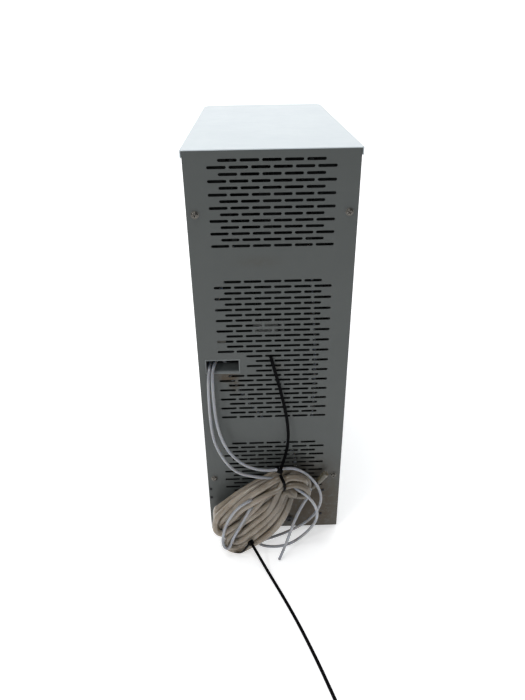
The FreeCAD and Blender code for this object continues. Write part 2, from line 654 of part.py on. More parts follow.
def fan_hole_spots():
    return [(f"{side} * fan_hole_pitch", f"fan_height + {up} * fan_hole_pitch")
            for side in (-1, 1) for up in (-1, 1)]


def fan():
    at = ("0", "fan_height")
    block = box("fan_block", ("-fan_half", "fan_half"), ("fan_inner", "fan_outer"),
                ("fan_height - fan_half", "fan_height + fan_half"))
    bore = rod("fan_bore", at, "fan_bore", ("fan_inner - 1", "fan_outer + 1"), "y")
    holes = rods("fan_hole", fan_hole_spots(), "screw_shank + 0.1", ("fan_inner - 1", "fan_outer + 1"), "y")
    ring = cut("fan_ring", block, bore, *holes)
    hub = rod("fan_motor", at, "fan_hub - 4", ("fan_inner", "fan_inner + 5"), "y")
    axle = rod("fan_axle", at, "1.5", ("fan_inner + 4", "fan_outer - 6"), "y")
    struts = []
    for i in range(3):
        strut = doc.addObject("Part::Box", f"fan_strut_{i + 1}")
        bind(strut, "Length", "fan_bore + 1")
        bind(strut, "Width", "3")
        bind(strut, "Height", "5")
        turn = (V(0, 1, 0), 120 * i + 30)
        start = FreeCAD.Rotation(*turn).multVec(V(0, 0, -2.5))
        place(strut, start.x, "fan_inner", f"fan_height + {start.z}", turn)
        struts.append(strut)
    node(fuse("fan_body", ring, hub, axle, *struts), "fan_frame")
    fan_wheel(at)


def fan_wheel(at):
    """A hub with seven pitched blades, free on the frame's axle."""
    hub = rod("wheel_hub", at, "fan_hub", ("fan_inner + 6", "fan_outer - 3"), "y")
    hole = rod("wheel_hole", at, "1.5 + running_gap", ("fan_inner + 5", "fan_outer - 5.5"), "y")
    blades = []
    for i in range(7):
        blade = doc.addObject("Part::Box", f"blade_{i + 1}")
        bind(blade, "Length", "fan_blade_tip - fan_hub + 3")
        bind(blade, "Width", "1.6")
        bind(blade, "Height", "19")
        spin = FreeCAD.Rotation(V(0, 1, 0), 360 / 7 * i)
        pitch = FreeCAD.Rotation(V(1, 0, 0), 52)
        turn = spin.multiply(pitch)
        start = spin.multVec(V(value("fan_hub - 3"), 0, 0)) + turn.multVec(V(0, -0.8, -9.5))
        blade.Placement = FreeCAD.Placement(V(), turn)
        place(blade, start.x, f"(fan_inner + fan_outer)/2 + 1.5 + {start.y}", f"fan_height + {start.z}")
        blades.append(blade)
    return node(cut("wheel", fuse("wheel_solid", hub, *blades), hole), "fan_rotor")


def fan_bracket():
    """An upright plate behind the top vents that carries the fan on its rear face."""
    part = body("fan_plate")
    outline = sketch(part, "fan_plate_outline", "XZ_Plane", "-fan_inner")
    rectangle(outline, ("-fan_ear", "fan_ear"), ("fan_height - 66", "fan_height + 66"))
    draw_circle(outline, "0", "fan_height", "fan_bore")
    for side, height in fan_hole_spots():
        draw_circle(outline, side, height, "screw_shank + 0.1")
    pad(part, outline, "plate_thick", reverse=False)
    ears = sketch(part, "fan_plate_ears", "XZ_Plane", "-fan_inner")
    for side in (("-fan_ear", "plate_thick - fan_ear"), ("fan_ear - plate_thick", "fan_ear")):
        rectangle(ears, side, ("fan_height - 66", "fan_height + 66"))
    pad(part, ears, "18", reverse=False)
    return node(part, "fan_bracket")


# ---------------------------------------------------------------- electrics

def ballast():
    case = box("ballast_case", ("-30", "10"),
               ("plate_front + plate_thick", "plate_front + plate_thick + 30"),
               ("380", "530"))
    return node(case, "ballast")


def terminal_block():
    block = box("terminals", ("-30", "30"), ("plate_front + plate_thick", "plate_front + plate_thick + 20"),
                ("300", "320"))
    ways = rods("terminal_way", [(f"{x}", "plate_front + plate_thick + 12") for x in range(-25, 30, 10)],
                "2.2", ("312", "321"))
    return node(cut("terminal_body", block, *ways), "terminal_block")


def power_inlet():
    """A mains appliance inlet with three blades in a recess, screwed in from outside."""
    flange = box("inlet_flange", ("inlet_side - 25", "inlet_side + 25"),
                 ("body_depth/2", "body_depth/2 + trim_proud"),
                 ("inlet_height - 11.5", "inlet_height + 11.5"))
    shell = box("inlet_shell", ("inlet_side - 13.7", "inlet_side + 13.7"),
                ("body_depth/2 - 28", "body_depth/2 + 1"),
                ("inlet_height - 10", "inlet_height + 10"))
    recess = box("inlet_recess", ("inlet_side - 11", "inlet_side + 11"),
                 ("body_depth/2 - 14", "body_depth/2 + trim_proud + 1"),
                 ("inlet_height - 7.5", "inlet_height + 7.5"))
    housing = cut("inlet_housing", fuse("inlet_solid", flange, shell), recess)
    blades = [box(f"inlet_blade_{i}", (f"inlet_side + {x} - 1", f"inlet_side + {x} + 1"),
                  ("body_depth/2 - 16", "body_depth/2 - 1"),
                  (f"inlet_height + {z} - 2", f"inlet_height + {z} + 2"))
              for i, (x, z) in enumerate(((-7, -2), (0, 2), (7, -2)), 1)]
    return node(fuse("inlet", housing, *blades), "power_inlet")


def drain_fitting():
    """A short plugged spigot low on the rear panel, held by its own flange."""
    profile = [("0", "-22"), ("4", "-22"), ("6", "-18"), ("6", "0"), ("7.5", "0"), ("7.5", "trim_proud"),
               ("0", "trim_proud")]
    return node(turned("drain", profile, "drain_side", "body_depth/2", "drain_height", AXIS_TURN["y"]),
                "drain_fitting")


# ---------------------------------------------------------------- front controls

def front_controls():
    face = "-body_depth/2"
    wide, tall = "switch_half_width", "switch_half_height"
    rim = box("bezel_rim", (f"-{wide} - 2.5", f"{wide} + 2.5"), (f"{face} - 2", face),
              (f"switch_height - {tall} - 2.5", f"switch_height + {tall} + 2.5"))
    sleeve = box("bezel_sleeve", (f"-{wide}", wide), (f"{face} - 1", f"{face} + 20"),
                 (f"switch_height - {tall}", f"switch_height + {tall}"))
    well = box("bezel_well", (f"-{wide} + 1.5", f"{wide} - 1.5"), (f"{face} - 3", f"{face} + 17"),
               (f"switch_height - {tall} + 1.5", f"switch_height + {tall} - 1.5"))
    node(cut("bezel", fuse("bezel_solid", rim, sleeve), well), "switch_bezel")
    rocker()
    lenses = [turned(f"lens_{i}", [("0", "-8"), ("lens_radius", "-8"), ("lens_radius", "0"),
                                   ("lens_radius + 1.2", "0"), ("lens_radius + 1.2", "1"),
                                   ("lens_radius", "2.4"), ("0", "trim_proud")],
                     side, face, "lamp_height", (V(1, 0, 0), 90)) for i, side in enumerate(("-12", "12"), 1)]
    node(group("lenses", *lenses), "indicator_lenses")
    node(turned("sight", [("0", "-4"), ("sight_radius - 0.1", "-4"), ("sight_radius - 0.1", "0"),
                          ("sight_radius + 3", "0"), ("sight_radius + 3", "1.5"),
                          ("sight_radius", "trim_proud"),
                          ("sight_radius - 3", "trim_proud"), ("sight_radius - 4", "1"), ("0", "1")],
                "0", face, "sight_height", (V(1, 0, 0), 90)), "sight_glass")


def rocker():
    """A rocker with a slightly folded face, drawn about its pivot and resting with its lower half in."""
    part = body("rocker_body")
    profile = sketch(part, "rocker_profile", "YZ_Plane", "-switch_half_width + 1.5 + rocker_gap")
    high = "(switch_half_height - 1.5 - rocker_gap - 0.6)"
    draw_polygon(profile, [
        ("-6.6", high), ("-5.2", "0"), ("-6.6", f"-{high}"), ("0", f"-{high}"), ("6", "-4"), ("6", "4"),
        ("0", high)])
    pad(part, profile, "2 * (switch_half_width - 1.5 - rocker_gap)")
    place(part, "0", "-body_depth/2 + rocker_pivot", "switch_height", (V(1, 0, 0), value("rocker_rest")))
    return node(part, "switch_rocker")


# ---------------------------------------------------------------- hoses, leads and straps

# A share of the shorter run beside a corner of a route that its arc takes up
ARC_SHARE = 0.45

# From the connector, out through the port, down the panel, under the upper tie, round one loop
# to the floor and back under the hank
INLET_ROUTE = [
    (84, 212, 352), (88, 229, 353.5), (91.8, 247, 353.5), (93.8, 260, 344), (94, 266, 320),
    (93.2, 268, 290), (91.5, 268, 262), (87, 269, 236), (78.5, 270.5, 211), (66, 272, 192),
    (51, 274.5, 178.5), (34, 276, 170.5), (17, 276.5, 167), (2, 276.5, 166.5), (-12, 275.5, 168.5),
    (-29, 275.5, 169.5), (-44, 273.5, 161.5), (-58.5, 271, 147), (-70.5, 270, 129),
    (-79, 269, 109), (-81.5, 268, 88), (-77.5, 267.5, 68), (-68, 268, 50.5), (-54.5, 268.5, 35.5),
    (-38.5, 268, 22), (-20, 267.5, 10.5), (0, 269.5, 3.2), (17, 275, 2.8), (31, 281, 3.4)]

# The same way down, behind the tied neck of the hank, round the front loop, behind the hank
# again and out to an open end on the floor
OUTLET_ROUTE = [
    (98, 212, 352), (98, 232, 353), (98.5, 252, 350), (100, 261, 336), (100.8, 264, 312),
    (101, 265, 284), (100.5, 265, 256), (98.6, 265.5, 228), (92.5, 267, 206), (83.5, 270, 187),
    (71, 273, 169.5), (57, 275, 159.5), (40, 276, 155), (24, 276.8, 152), (8, 277.2, 150.2),
    (-8, 278, 146), (-23, 282, 140.5), (-36, 287.5, 134.5), (-48.5, 291, 127), (-61, 292.5, 113.5),
    (-70, 291, 94), (-73, 289.5, 73.5),
    (-69, 288, 54), (-59.5, 287, 36), (-46, 287.5, 20), (-30, 289.5, 8.5), (-12, 291.5, 3),
    (7, 292.5, 2.8), (25, 290, 4.5), (38, 283, 12), (40, 273, 25), (30, 264.5, 40),
    (14, 260.5, 57), (-5, 259.5, 76), (-22, 259.5, 97), (-35, 260.5, 113), (-47, 264, 122.5),
    (-57, 270, 125), (-61.5, 276, 120.5), (-57.5, 281, 112), (-50.5, 285, 102.5), (-43.5, 289.5, 91.5),
    (-37, 294, 79), (-31, 298.5, 65.5), (-26, 303, 51.5), (-21, 307.5, 38), (-16, 311.5, 25),
    (-11, 315.5, 13.5), (-5.5, 321, 3.6)]

HOSE_END_ROUTE = [(-62, 262, 112), (-72, 260.5, 121), (-81, 260, 131), (-88.5, 260, 142)]

UPPER_STRAP_ROUTE = [
    (4.5, 246, 371), (4, 251, 371), (2.5, 255, 366), (-1, 256, 352), (-6.5, 256.5, 330),
    (-12.5, 257, 304), (-18, 258, 277), (-22.3, 259.5, 249), (-23.8, 262, 224), (-21, 267.5, 202),
    (-14.5, 277, 184.5), (-8.5, 287, 173)]

UPPER_BAND_ROUTE = [
    (-8.5, 290, 169), (-12, 294.5, 163), (-15.5, 296.5, 153.5), (-16.5, 296, 143),
    (-14, 291, 133), (-9, 281, 129), (-4, 270, 131), (-1, 262.5, 139), (-0.5, 261, 150),
    (-2.5, 263.5, 161), (-5.5, 271, 168.5), (-8, 280, 171)]

LOWER_BAND_ROUTE = [
    (46, 309, 32), (51, 311, 22.5), (58, 311.5, 13.5), (66.5, 308, 6.5), (75, 300, 3),
    (81, 289, 3.2), (82, 278, 9), (78, 270, 18), (70, 266, 29), (61, 268, 38),
    (53, 277, 43.5), (47.5, 288.5, 43.5), (44.5, 299, 38.5)]

LOWER_STRAP_ROUTE = [
    (42.5, 308.5, 33), (36.5, 314.5, 24.5), (29.5, 322.5, 15.5), (21.5, 334, 8), (13, 349, 3.4),
    (3.5, 368, 1.7), (-7, 390.5, 1.6), (-17.8, 414.7, 1.6), (-29, 441, 1.6), (-39.5, 468, 1.6),
    (-51, 499, 1.6), (-62, 531, 1.6), (-72.5, 563, 1.6)]


def route_wire(points):
    """Straight runs joined by tangent arcs; returns the wire and the arcs' radii."""
    corners = [V(*point) for point in points]
    edges, radii, start = [], [], corners[0]
    for before, corner, after in zip(corners, corners[1:], corners[2:]):
        back, ahead = (before - corner).normalize(), (after - corner).normalize()
        reach = ARC_SHARE * min((before - corner).Length, (after - corner).Length)
        arc_start, arc_end = corner + back * reach, corner + ahead * reach
        turn = math.pi - back.getAngle(ahead)
        radius = reach / math.tan(turn / 2)
        centre = corner + (back + ahead).normalize() * math.hypot(reach, radius)
        middle = centre + (corner - centre).normalize() * radius
        edges.append(Part.LineSegment(start, arc_start).toShape())
        edges.append(Part.Arc(arc_start, middle, arc_end).toShape())
        radii.append(radius)
        start = arc_end
    edges.append(Part.LineSegment(start, corners[-1]).toShape())
    return Part.Wire(edges), radii


def swept(name, points, diameter):
    """A round hose along a route, checked against its section times its length."""
    wire, radii = route_wire(points)
    radius = value(diameter) / 2
    first = (V(*points[1]) - V(*points[0])).normalize()
    profile = Part.Wire([Part.Circle(V(*points[0]), first, radius).toShape()])
    solid = wire.makePipeShell([profile], True, False)
    expected = math.pi * radius ** 2 * wire.Length
    print(f"{name}: length {wire.Length:.0f}, volume ratio {solid.Volume / expected:.4f}, "
          f"radii {min(radii):.0f} to {max(radii):.0f}", [round(r) for r in radii])
    feature = doc.addObject("Part::Feature", name)
    feature.Shape = solid
    feature.Placement = FreeCAD.Placement()
    return feature


def outer_tubes():
    node(swept("inlet_sweep", INLET_ROUTE, "tube_diameter"), "inlet_tube")
    node(swept("outlet_sweep", OUTLET_ROUTE, "tube_diameter"), "outlet_tube")


def hank():
    """The tied hank of spare hose: its outer shape, leaning on the panel, and its free end."""
    part = body("hank_body")
    outline = sketch(part, "hank_outline", "XZ_Plane")
    draw_polygon(outline, [
        ("-69", "101"), ("-69", "125"), ("-55", "142"), ("-27", "153"), ("21", "141"), ("64", "110"),
        ("101", "80"), ("122", "55"), ("124", "35"), ("110", "19"), ("88", "19"), ("68", "7"), ("45", "8"),
        ("24", "24"), ("7", "40"), ("-14", "68"), ("-24", "88"), ("-36", "96")])
    block = pad(part, outline, "hank_thickness", both_ways=True)

    def rim(edge, middle):
        return abs(abs(middle.y) - value("hank_thickness/2")) < 0.1

    round_edges(part, block, "6", rim)
    place(part, "0", "hank_middle", "0", (V(1, 0, 0), value("hank_lean")))
    node(part, "hose_coil")
    node(swept("hose_end_sweep", HOSE_END_ROUTE, "hose_diameter"), "hose_end")


def cable_ties():
    upper_head = box("upper_head", ("-12", "-4"), ("286", "292.5"), ("168", "176"))
    upper = fuse("upper_tie", upper_head, swept("upper_strap", UPPER_STRAP_ROUTE, "strap_diameter"),
                 swept("upper_band", UPPER_BAND_ROUTE, "strap_diameter"))
    node(upper, "cable_tie_upper")
    lower_head = box("lower_head", ("40", "48"), ("302", "311"), ("30", "38"))
    lower = fuse("lower_tie", lower_head, swept("lower_strap", LOWER_STRAP_ROUTE, "strap_diameter"),
                 swept("lower_band", LOWER_BAND_ROUTE, "strap_diameter"))
    node(lower, "cable_tie_lower")


def tube_connectors():
    """Push-in connectors for the two outer tubes, in a plate behind the port."""
    spots = [("98", "352"), ("84", "352")]
    pieces = []
    for i, spot in enumerate(spots, 1):
        barrel = rod(f"connector_{i}", spot, "6", ("184", "214"), "y")
        bore = rod(f"connector_bore_{i}", spot, "tube_diameter / 2", ("212", "215"), "y")
        way = rod(f"connector_way_{i}", spot, "1.6", ("183", "213"), "y")
        pieces.append(cut(f"connector_whole_{i}", barrel, bore, way))
    node(group("connectors", *pieces), "tube_connectors")
    part = body("connector_plate")
    outline = sketch(part, "connector_outline", "XZ_Plane", "-200")
    rectangle(outline, ("74", "113"), ("338", "372"))
    for side, height in spots:
        draw_circle(outline, side, height, "6")
    pad(part, outline, "2", reverse=False)
    node(part, "connector_bracket")


FEED_ROUTE = [
    (-40, 215, 107), (-40, 215, 130), (-35, 213, 155), (-18, 208, 183), (6, 200, 208), (31, 191, 232),
    (54, 182, 260), (72, 174, 292), (81, 170, 320), (84, 169, 340), (84, 174, 350), (84, 184, 352)]
PUMP_ROUTE = [
    (-72, 173, 150), (-72, 172, 180), (-74, 165, 215), (-77, 150, 255), (-79, 130, 298), (-79, 107, 340),
    (-78, 84, 382), (-76, 62, 425), (-73, 40, 465), (-71, 18, 500), (-70, -4, 521), (-70, -22, 523),
    (-70, -30, 511), (-70, -30, 495)]
FILTER_ROUTE = [
    (-40, -30, 495), (-40, -30, 510), (-36, -30, 526), (-22, -31, 533), (-8, -33, 524), (-3, -36, 500),
    (-2, -39, 455), (-1, -41, 405), (-2, -42, 350), (-3, -41, 295), (-3, -39, 240), (-4, -36, 190),
    (-7, -31, 150), (-9, -25, 124), (-5, -20.5, 111), (5, -20, 110)]
RETURN_ROUTE = [
    (55, 45, 500), (55.5, 68, 500), (59, 92, 493), (67, 115, 474), (78, 135, 446), (88, 151, 413),
    (95, 162, 382), (98, 168, 361), (98, 174, 354), (98, 184, 352)]
LAMP_LEAD_ROUTE = [
    (55, -20, 598), (54, -18, 611), (47, -10, 625), (34, 4, 634), (19, 20, 635), (6, 32, 623),
    (-4, 39, 603), (-9, 40, 578), (-10, 37, 553), (-10, 36, 530)]
FAN_LEAD_ROUTE = [
    (10, 204, 592), (11, 192, 588), (15, 177, 574), (21, 160, 548), (27, 140, 512), (29, 118, 470),
    (28, 104, 432), (25, 93, 396), (21, 70, 364), (18, 54, 345), (16, 44, 339), (15, 36, 336),
    (15, 33.6, 327), (15, 33.5, 313)]
PUMP_LEAD_ROUTE = [
    (-40, 90, 127), (-40, 90, 145), (-39, 86, 170), (-36, 78, 200), (-31, 69, 233), (-25, 61, 266),
    (-20, 55, 295), (-18.5, 50, 318), (-16.5, 43.5, 333), (-15, 37, 337), (-15, 33.6, 331), (-15, 33.5, 322),
    (-15, 33.5, 313)]


def inner_hoses():
    for name, route, diameter in (
            ("feed_hose", FEED_ROUTE, "inner_hose"), ("pump_hose", PUMP_ROUTE, "inner_hose"),
            ("filter_hose", FILTER_ROUTE, "inner_hose"), ("return_hose", RETURN_ROUTE, "inner_hose"),
            ("lamp_lead", LAMP_LEAD_ROUTE, "lead_diameter"), ("fan_lead", FAN_LEAD_ROUTE, "lead_diameter"),
            ("pump_lead", PUMP_LEAD_ROUTE, "lead_diameter")):
        node(swept(f"{name}_sweep", route, diameter), name)


def build():
    base_pan()
    side_panels()
    front_panel()
    rear_panel()
    lid()
    tube_port_frame()
    rear_fixings()
    feet()
    equipment_plate()
    machine_screws()
    reactor()
    prefilter()
    pump()
    fan()
    fan_bracket()
    ballast()
    terminal_block()
    power_inlet()
    drain_fitting()
    front_controls()
    tube_connectors()
    inner_hoses()
    outer_tubes()
    hank()
    cable_ties()
    doc.recompute()


def export():
    """Refuse a failed feature or an unsound shape, then write one file for each sub-part."""
    failed = [thing.Name for thing in doc.Objects if {"Invalid", "Error"} & set(thing.State)]
    unsound = [thing.Label for thing in NODES
               if thing.Shape.isNull() or not thing.Shape.isValid() or not thing.Shape.Solids]
    if failed or unsound:
        raise RuntimeError(f"failed: {failed} unsound: {unsound}")
    os.makedirs("parts", exist_ok=True)
    for thing in NODES:
        thing.Shape.exportStep(os.path.join("parts", f"{thing.Label}.step"))
    print(len(NODES), "sub-parts")


build()
export()
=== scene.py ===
"""The water clarifier cabinet as it stands, seen from behind and above.

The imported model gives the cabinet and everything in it.  This script lays the
hoses and straps at its back, replaces the plain fixings with detailed ones and
gives every surface its material.  Lengths are metres; MM turns millimetres
into them.
"""
import json
import math

import bmesh
import bpy
import numpy as np
from mathutils import Matrix, Vector


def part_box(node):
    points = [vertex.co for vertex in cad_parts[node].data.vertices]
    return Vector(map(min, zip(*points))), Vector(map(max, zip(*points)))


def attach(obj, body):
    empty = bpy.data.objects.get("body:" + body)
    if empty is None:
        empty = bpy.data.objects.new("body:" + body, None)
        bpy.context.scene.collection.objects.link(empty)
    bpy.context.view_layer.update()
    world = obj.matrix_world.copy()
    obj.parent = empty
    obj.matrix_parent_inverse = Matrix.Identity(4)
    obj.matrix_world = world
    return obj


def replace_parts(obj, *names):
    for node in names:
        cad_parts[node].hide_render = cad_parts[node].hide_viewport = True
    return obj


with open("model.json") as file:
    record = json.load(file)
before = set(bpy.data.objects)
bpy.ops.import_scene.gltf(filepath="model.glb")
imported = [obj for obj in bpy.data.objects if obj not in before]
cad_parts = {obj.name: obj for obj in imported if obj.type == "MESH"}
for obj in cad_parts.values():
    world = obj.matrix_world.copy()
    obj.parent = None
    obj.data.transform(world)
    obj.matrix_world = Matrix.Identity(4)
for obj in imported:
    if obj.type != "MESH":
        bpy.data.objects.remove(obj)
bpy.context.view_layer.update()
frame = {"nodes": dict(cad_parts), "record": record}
MM = 0.001
ROOT = "cabinet"


# ---------------------------------------------------------------- camera

def make_camera():
    data = bpy.data.cameras.new("camera")
    data.lens = 28.67
    camera = bpy.data.objects.new("camera", data)
    camera.location = (0.0278, 0.9833, 0.7962)
    camera.rotation_euler = [math.radians(angle) for angle in (60.51, 0.85, 178.61)]
    bpy.context.collection.objects.link(camera)
    bpy.context.scene.camera = camera


# ---------------------------------------------------------------- materials

class Paint:
    """A material under construction: node helpers around one Principled shader."""

    def __init__(self, name, color, roughness, metallic=0.0, extra=()):
        self.material = bpy.data.materials.new(name)
        self.material.use_nodes = True
        self.tree = self.material.node_tree
        self.shader = self.tree.nodes["Principled BSDF"]
        self.set(self.shader, "Base Color", (*color, 1))
        self.set(self.shader, "Roughness", roughness)
        self.set(self.shader, "Metallic", metallic)
        for socket, value in dict(extra).items():
            self.set(self.shader, socket, value)
        self.position = self.tree.nodes.new("ShaderNodeTexCoord").outputs["Object"]

    def set(self, node, socket, value):
        """Link an output to a socket, or give the socket its own value."""
        if isinstance(value, bpy.types.NodeSocket):
            self.tree.links.new(value, node.inputs[socket])
        else:
            node.inputs[socket].default_value = value

    def node(self, kind, inputs=(), **settings):
        made = self.tree.nodes.new(f"ShaderNode{kind}")
        for name, value in settings.items():
            setattr(made, name, value)
        for socket, value in dict(inputs).items():
            self.set(made, socket, value)
        return made

    def noise(self, scale, detail=3.0, roughness=0.5, stretch=None):
        """Noise from 0 to 1; stretch gives a scale for each axis."""
        vector = self.position
        if stretch:
            vector = self.node("Mapping", {"Vector": vector, "Scale": stretch}).outputs[0]
        return self.node("TexNoise", {"Vector": vector, "Scale": scale, "Detail": detail,
                                      "Roughness": roughness}).outputs["Fac"]

    def band(self, value, low, high, bottom=0.0, top=1.0):
        """Map low..high of a value to bottom..top, smoothly and clamped."""
        mapped = self.node("MapRange", {"Value": value, "From Min": low, "From Max": high,
                                        "To Min": bottom, "To Max": top},
                           interpolation_type="SMOOTHSTEP")
        return mapped.outputs[0]

    def math(self, operation, a, b=0.0):
        return self.node("Math", {0: a, 1: b}, operation=operation).outputs[0]

    def mix(self, factor, a, b):
        mixer = self.tree.nodes.new("ShaderNodeMix")
        mixer.data_type = "RGBA"
        self.set(mixer, 0, factor)
        for socket, value in ((6, a), (7, b)):
            self.set(mixer, socket, (*value, 1) if isinstance(value, tuple) else value)
        return mixer.outputs[2]

    def smudge(self, centre, radii):
        """A soft patch: 1 in the middle of an ellipsoid, 0 outside it."""
        scale = [1 / radius for radius in radii]
        offset = [-c * s for c, s in zip(centre, scale)]
        local = self.node("Mapping", {"Vector": self.position, "Location": offset, "Scale": scale})
        length = self.node("VectorMath", {0: local.outputs[0]}, operation="LENGTH").outputs["Value"]
        return self.band(length, 1.0, 0.0)

    def color(self, value):
        self.set(self.shader, "Base Color", value)

    def bump(self, height, strength, distance):
        bump = self.node("Bump", {"Height": height, "Strength": strength, "Distance": distance})
        self.set(self.shader, "Normal", bump.outputs[0])


def powder_coat(name, light, dark, roughness):
    """Powder-coated sheet: fine orange peel, slight mottle, and grime near the floor."""
    paint = Paint(name, light, roughness, extra={"Specular IOR Level": 0.4})
    mottle = paint.noise(9, 5, 0.6)
    tone = paint.mix(paint.band(mottle, 0.3, 0.7), dark, light)
    height = paint.node("SeparateXYZ", {0: paint.position}).outputs["Z"]
    grime = paint.math("MULTIPLY", paint.band(height, 0.11, 0.0, 0, 0.3), paint.noise(38, 6, 0.65))
    tone = paint.mix(grime, tone, (0.16, 0.14, 0.11))
    paint.color(tone)
    fine = paint.noise(620, 2, 0.5)
    paint.bump(fine, 0.12, 0.0004)
    paint.set(paint.shader, "Roughness", paint.band(paint.noise(60, 4), 0.2, 0.8, roughness - 0.03,
                                                    roughness + 0.04))
    return paint, tone


def shaded_rear_paint():
    """The rear panel's coat, made darker than the lid's to paint in the shade the rear stands in, with
    the brown water marks under the port and by the strap.
    """
    paint, tone = powder_coat("shaded_rear_coat", (0.083, 0.090, 0.087), (0.078, 0.085, 0.082), 0.44)
    broken = paint.band(paint.noise(120, 6, 0.7), 0.28, 0.55, 0.25)
    marks = None
    for centre, radii, strength in (
            ((0.080, 0.245, 0.346), (0.022, 0.03, 0.013), 1.8),
            ((0.070, 0.25, 0.334), (0.026, 0.02, 0.013), 1.5),
            ((0.061, 0.25, 0.322), (0.014, 0.02, 0.024), 0.7),
            ((-0.006, 0.25, 0.352), (0.014, 0.02, 0.010), 0.4),
            # Partly brown smears round the drain and partly the hank's shadow painted in, low on the
            # panel's right as seen from behind.
            ((-0.066, 0.25, 0.060), (0.10, 0.02, 0.15), 1.25),
            ((0.02, 0.25, 0.522), (0.05, 0.02, 0.014), 0.2)):
        patch = paint.math("MULTIPLY", paint.smudge(centre, radii), strength)
        marks = patch if marks is None else paint.math("MAXIMUM", marks, patch)
    paint.color(paint.mix(paint.math("MULTIPLY", marks, broken), tone, (0.055, 0.038, 0.02)))
    return paint.material


def plain_coat(name, light, dark, roughness=0.42):
    """A powder coat with no marks of its own."""
    return powder_coat(name, light, dark, roughness)[0].material


def moulded(name, color, roughness=0.5, grain=1500, depth=0.1, extra=()):
    """Moulded plastic or rubber with a fine spark-eroded grain and slight shade changes."""
    paint = Paint(name, color, roughness, extra=extra)
    shade = paint.band(paint.noise(45, 4), 0.25, 0.75)
    darker = tuple(c * 0.8 for c in color)
    paint.color(paint.mix(shade, darker, color))
    paint.bump(paint.noise(grain, 2), depth, 0.0003)
    return paint.material


def metal(name, color, roughness, stretch=(1, 1, 1), scale=220, depth=0.08):
    """Bare metal with drawn or rolled marks along one direction."""
    paint = Paint(name, color, roughness, metallic=1.0)
    marks = paint.noise(scale, 4, 0.6, stretch)
    dull = tuple(c * 0.72 for c in color)
    paint.color(paint.mix(paint.band(marks, 0.3, 0.7), dull, color))
    paint.set(paint.shader, "Roughness", paint.band(marks, 0.2, 0.8, roughness * 0.7, roughness * 1.4))
    paint.bump(marks, depth, 0.0002)
    return paint.material


def hose_skin(name, color, deep, roughness, clearness, dark_patches=()):
    """Translucent tubing: cloudy inside, with dusty patches, and dark patches (centre, radii, colour)
    that darken it in given places.
    """
    paint = Paint(name, color, roughness, extra={
        "Subsurface Weight": 0.6, "Subsurface Radius": (0.009, 0.007, 0.005), "Subsurface Scale": 1.0,
        "Transmission Weight": clearness, "IOR": 1.42, "Coat Weight": 0.5, "Coat Roughness": 0.12})
    cloud = paint.band(paint.noise(26, 5, 0.6), 0.3, 0.7)
    fine = paint.band(paint.noise(210, 3, 0.6), 0.3, 0.75, 0, 0.45)
    tone = paint.mix(cloud, deep, color)
    tone = paint.mix(fine, tone, tuple(c * 0.85 for c in color))
    for centre, radii, patch_tone in dark_patches:
        tone = paint.mix(paint.smudge(centre, radii), tone, patch_tone)
    paint.color(tone)
    paint.bump(paint.noise(300, 3), 0.08, 0.0005)
    return paint.material


def clear(name, color, roughness=0.05, amount=0.85):
    """Clear glass or plastic with a faint film of dust."""
    paint = Paint(name, color, roughness, extra={"Transmission Weight": amount, "IOR": 1.46})
    film = paint.noise(80, 4)
    paint.set(paint.shader, "Roughness", paint.band(film, 0.3, 0.7, roughness, roughness + 0.12))
    paint.color(paint.mix(paint.band(film, 0.4, 0.8), color, tuple(c * 0.9 for c in color)))
    return paint.material


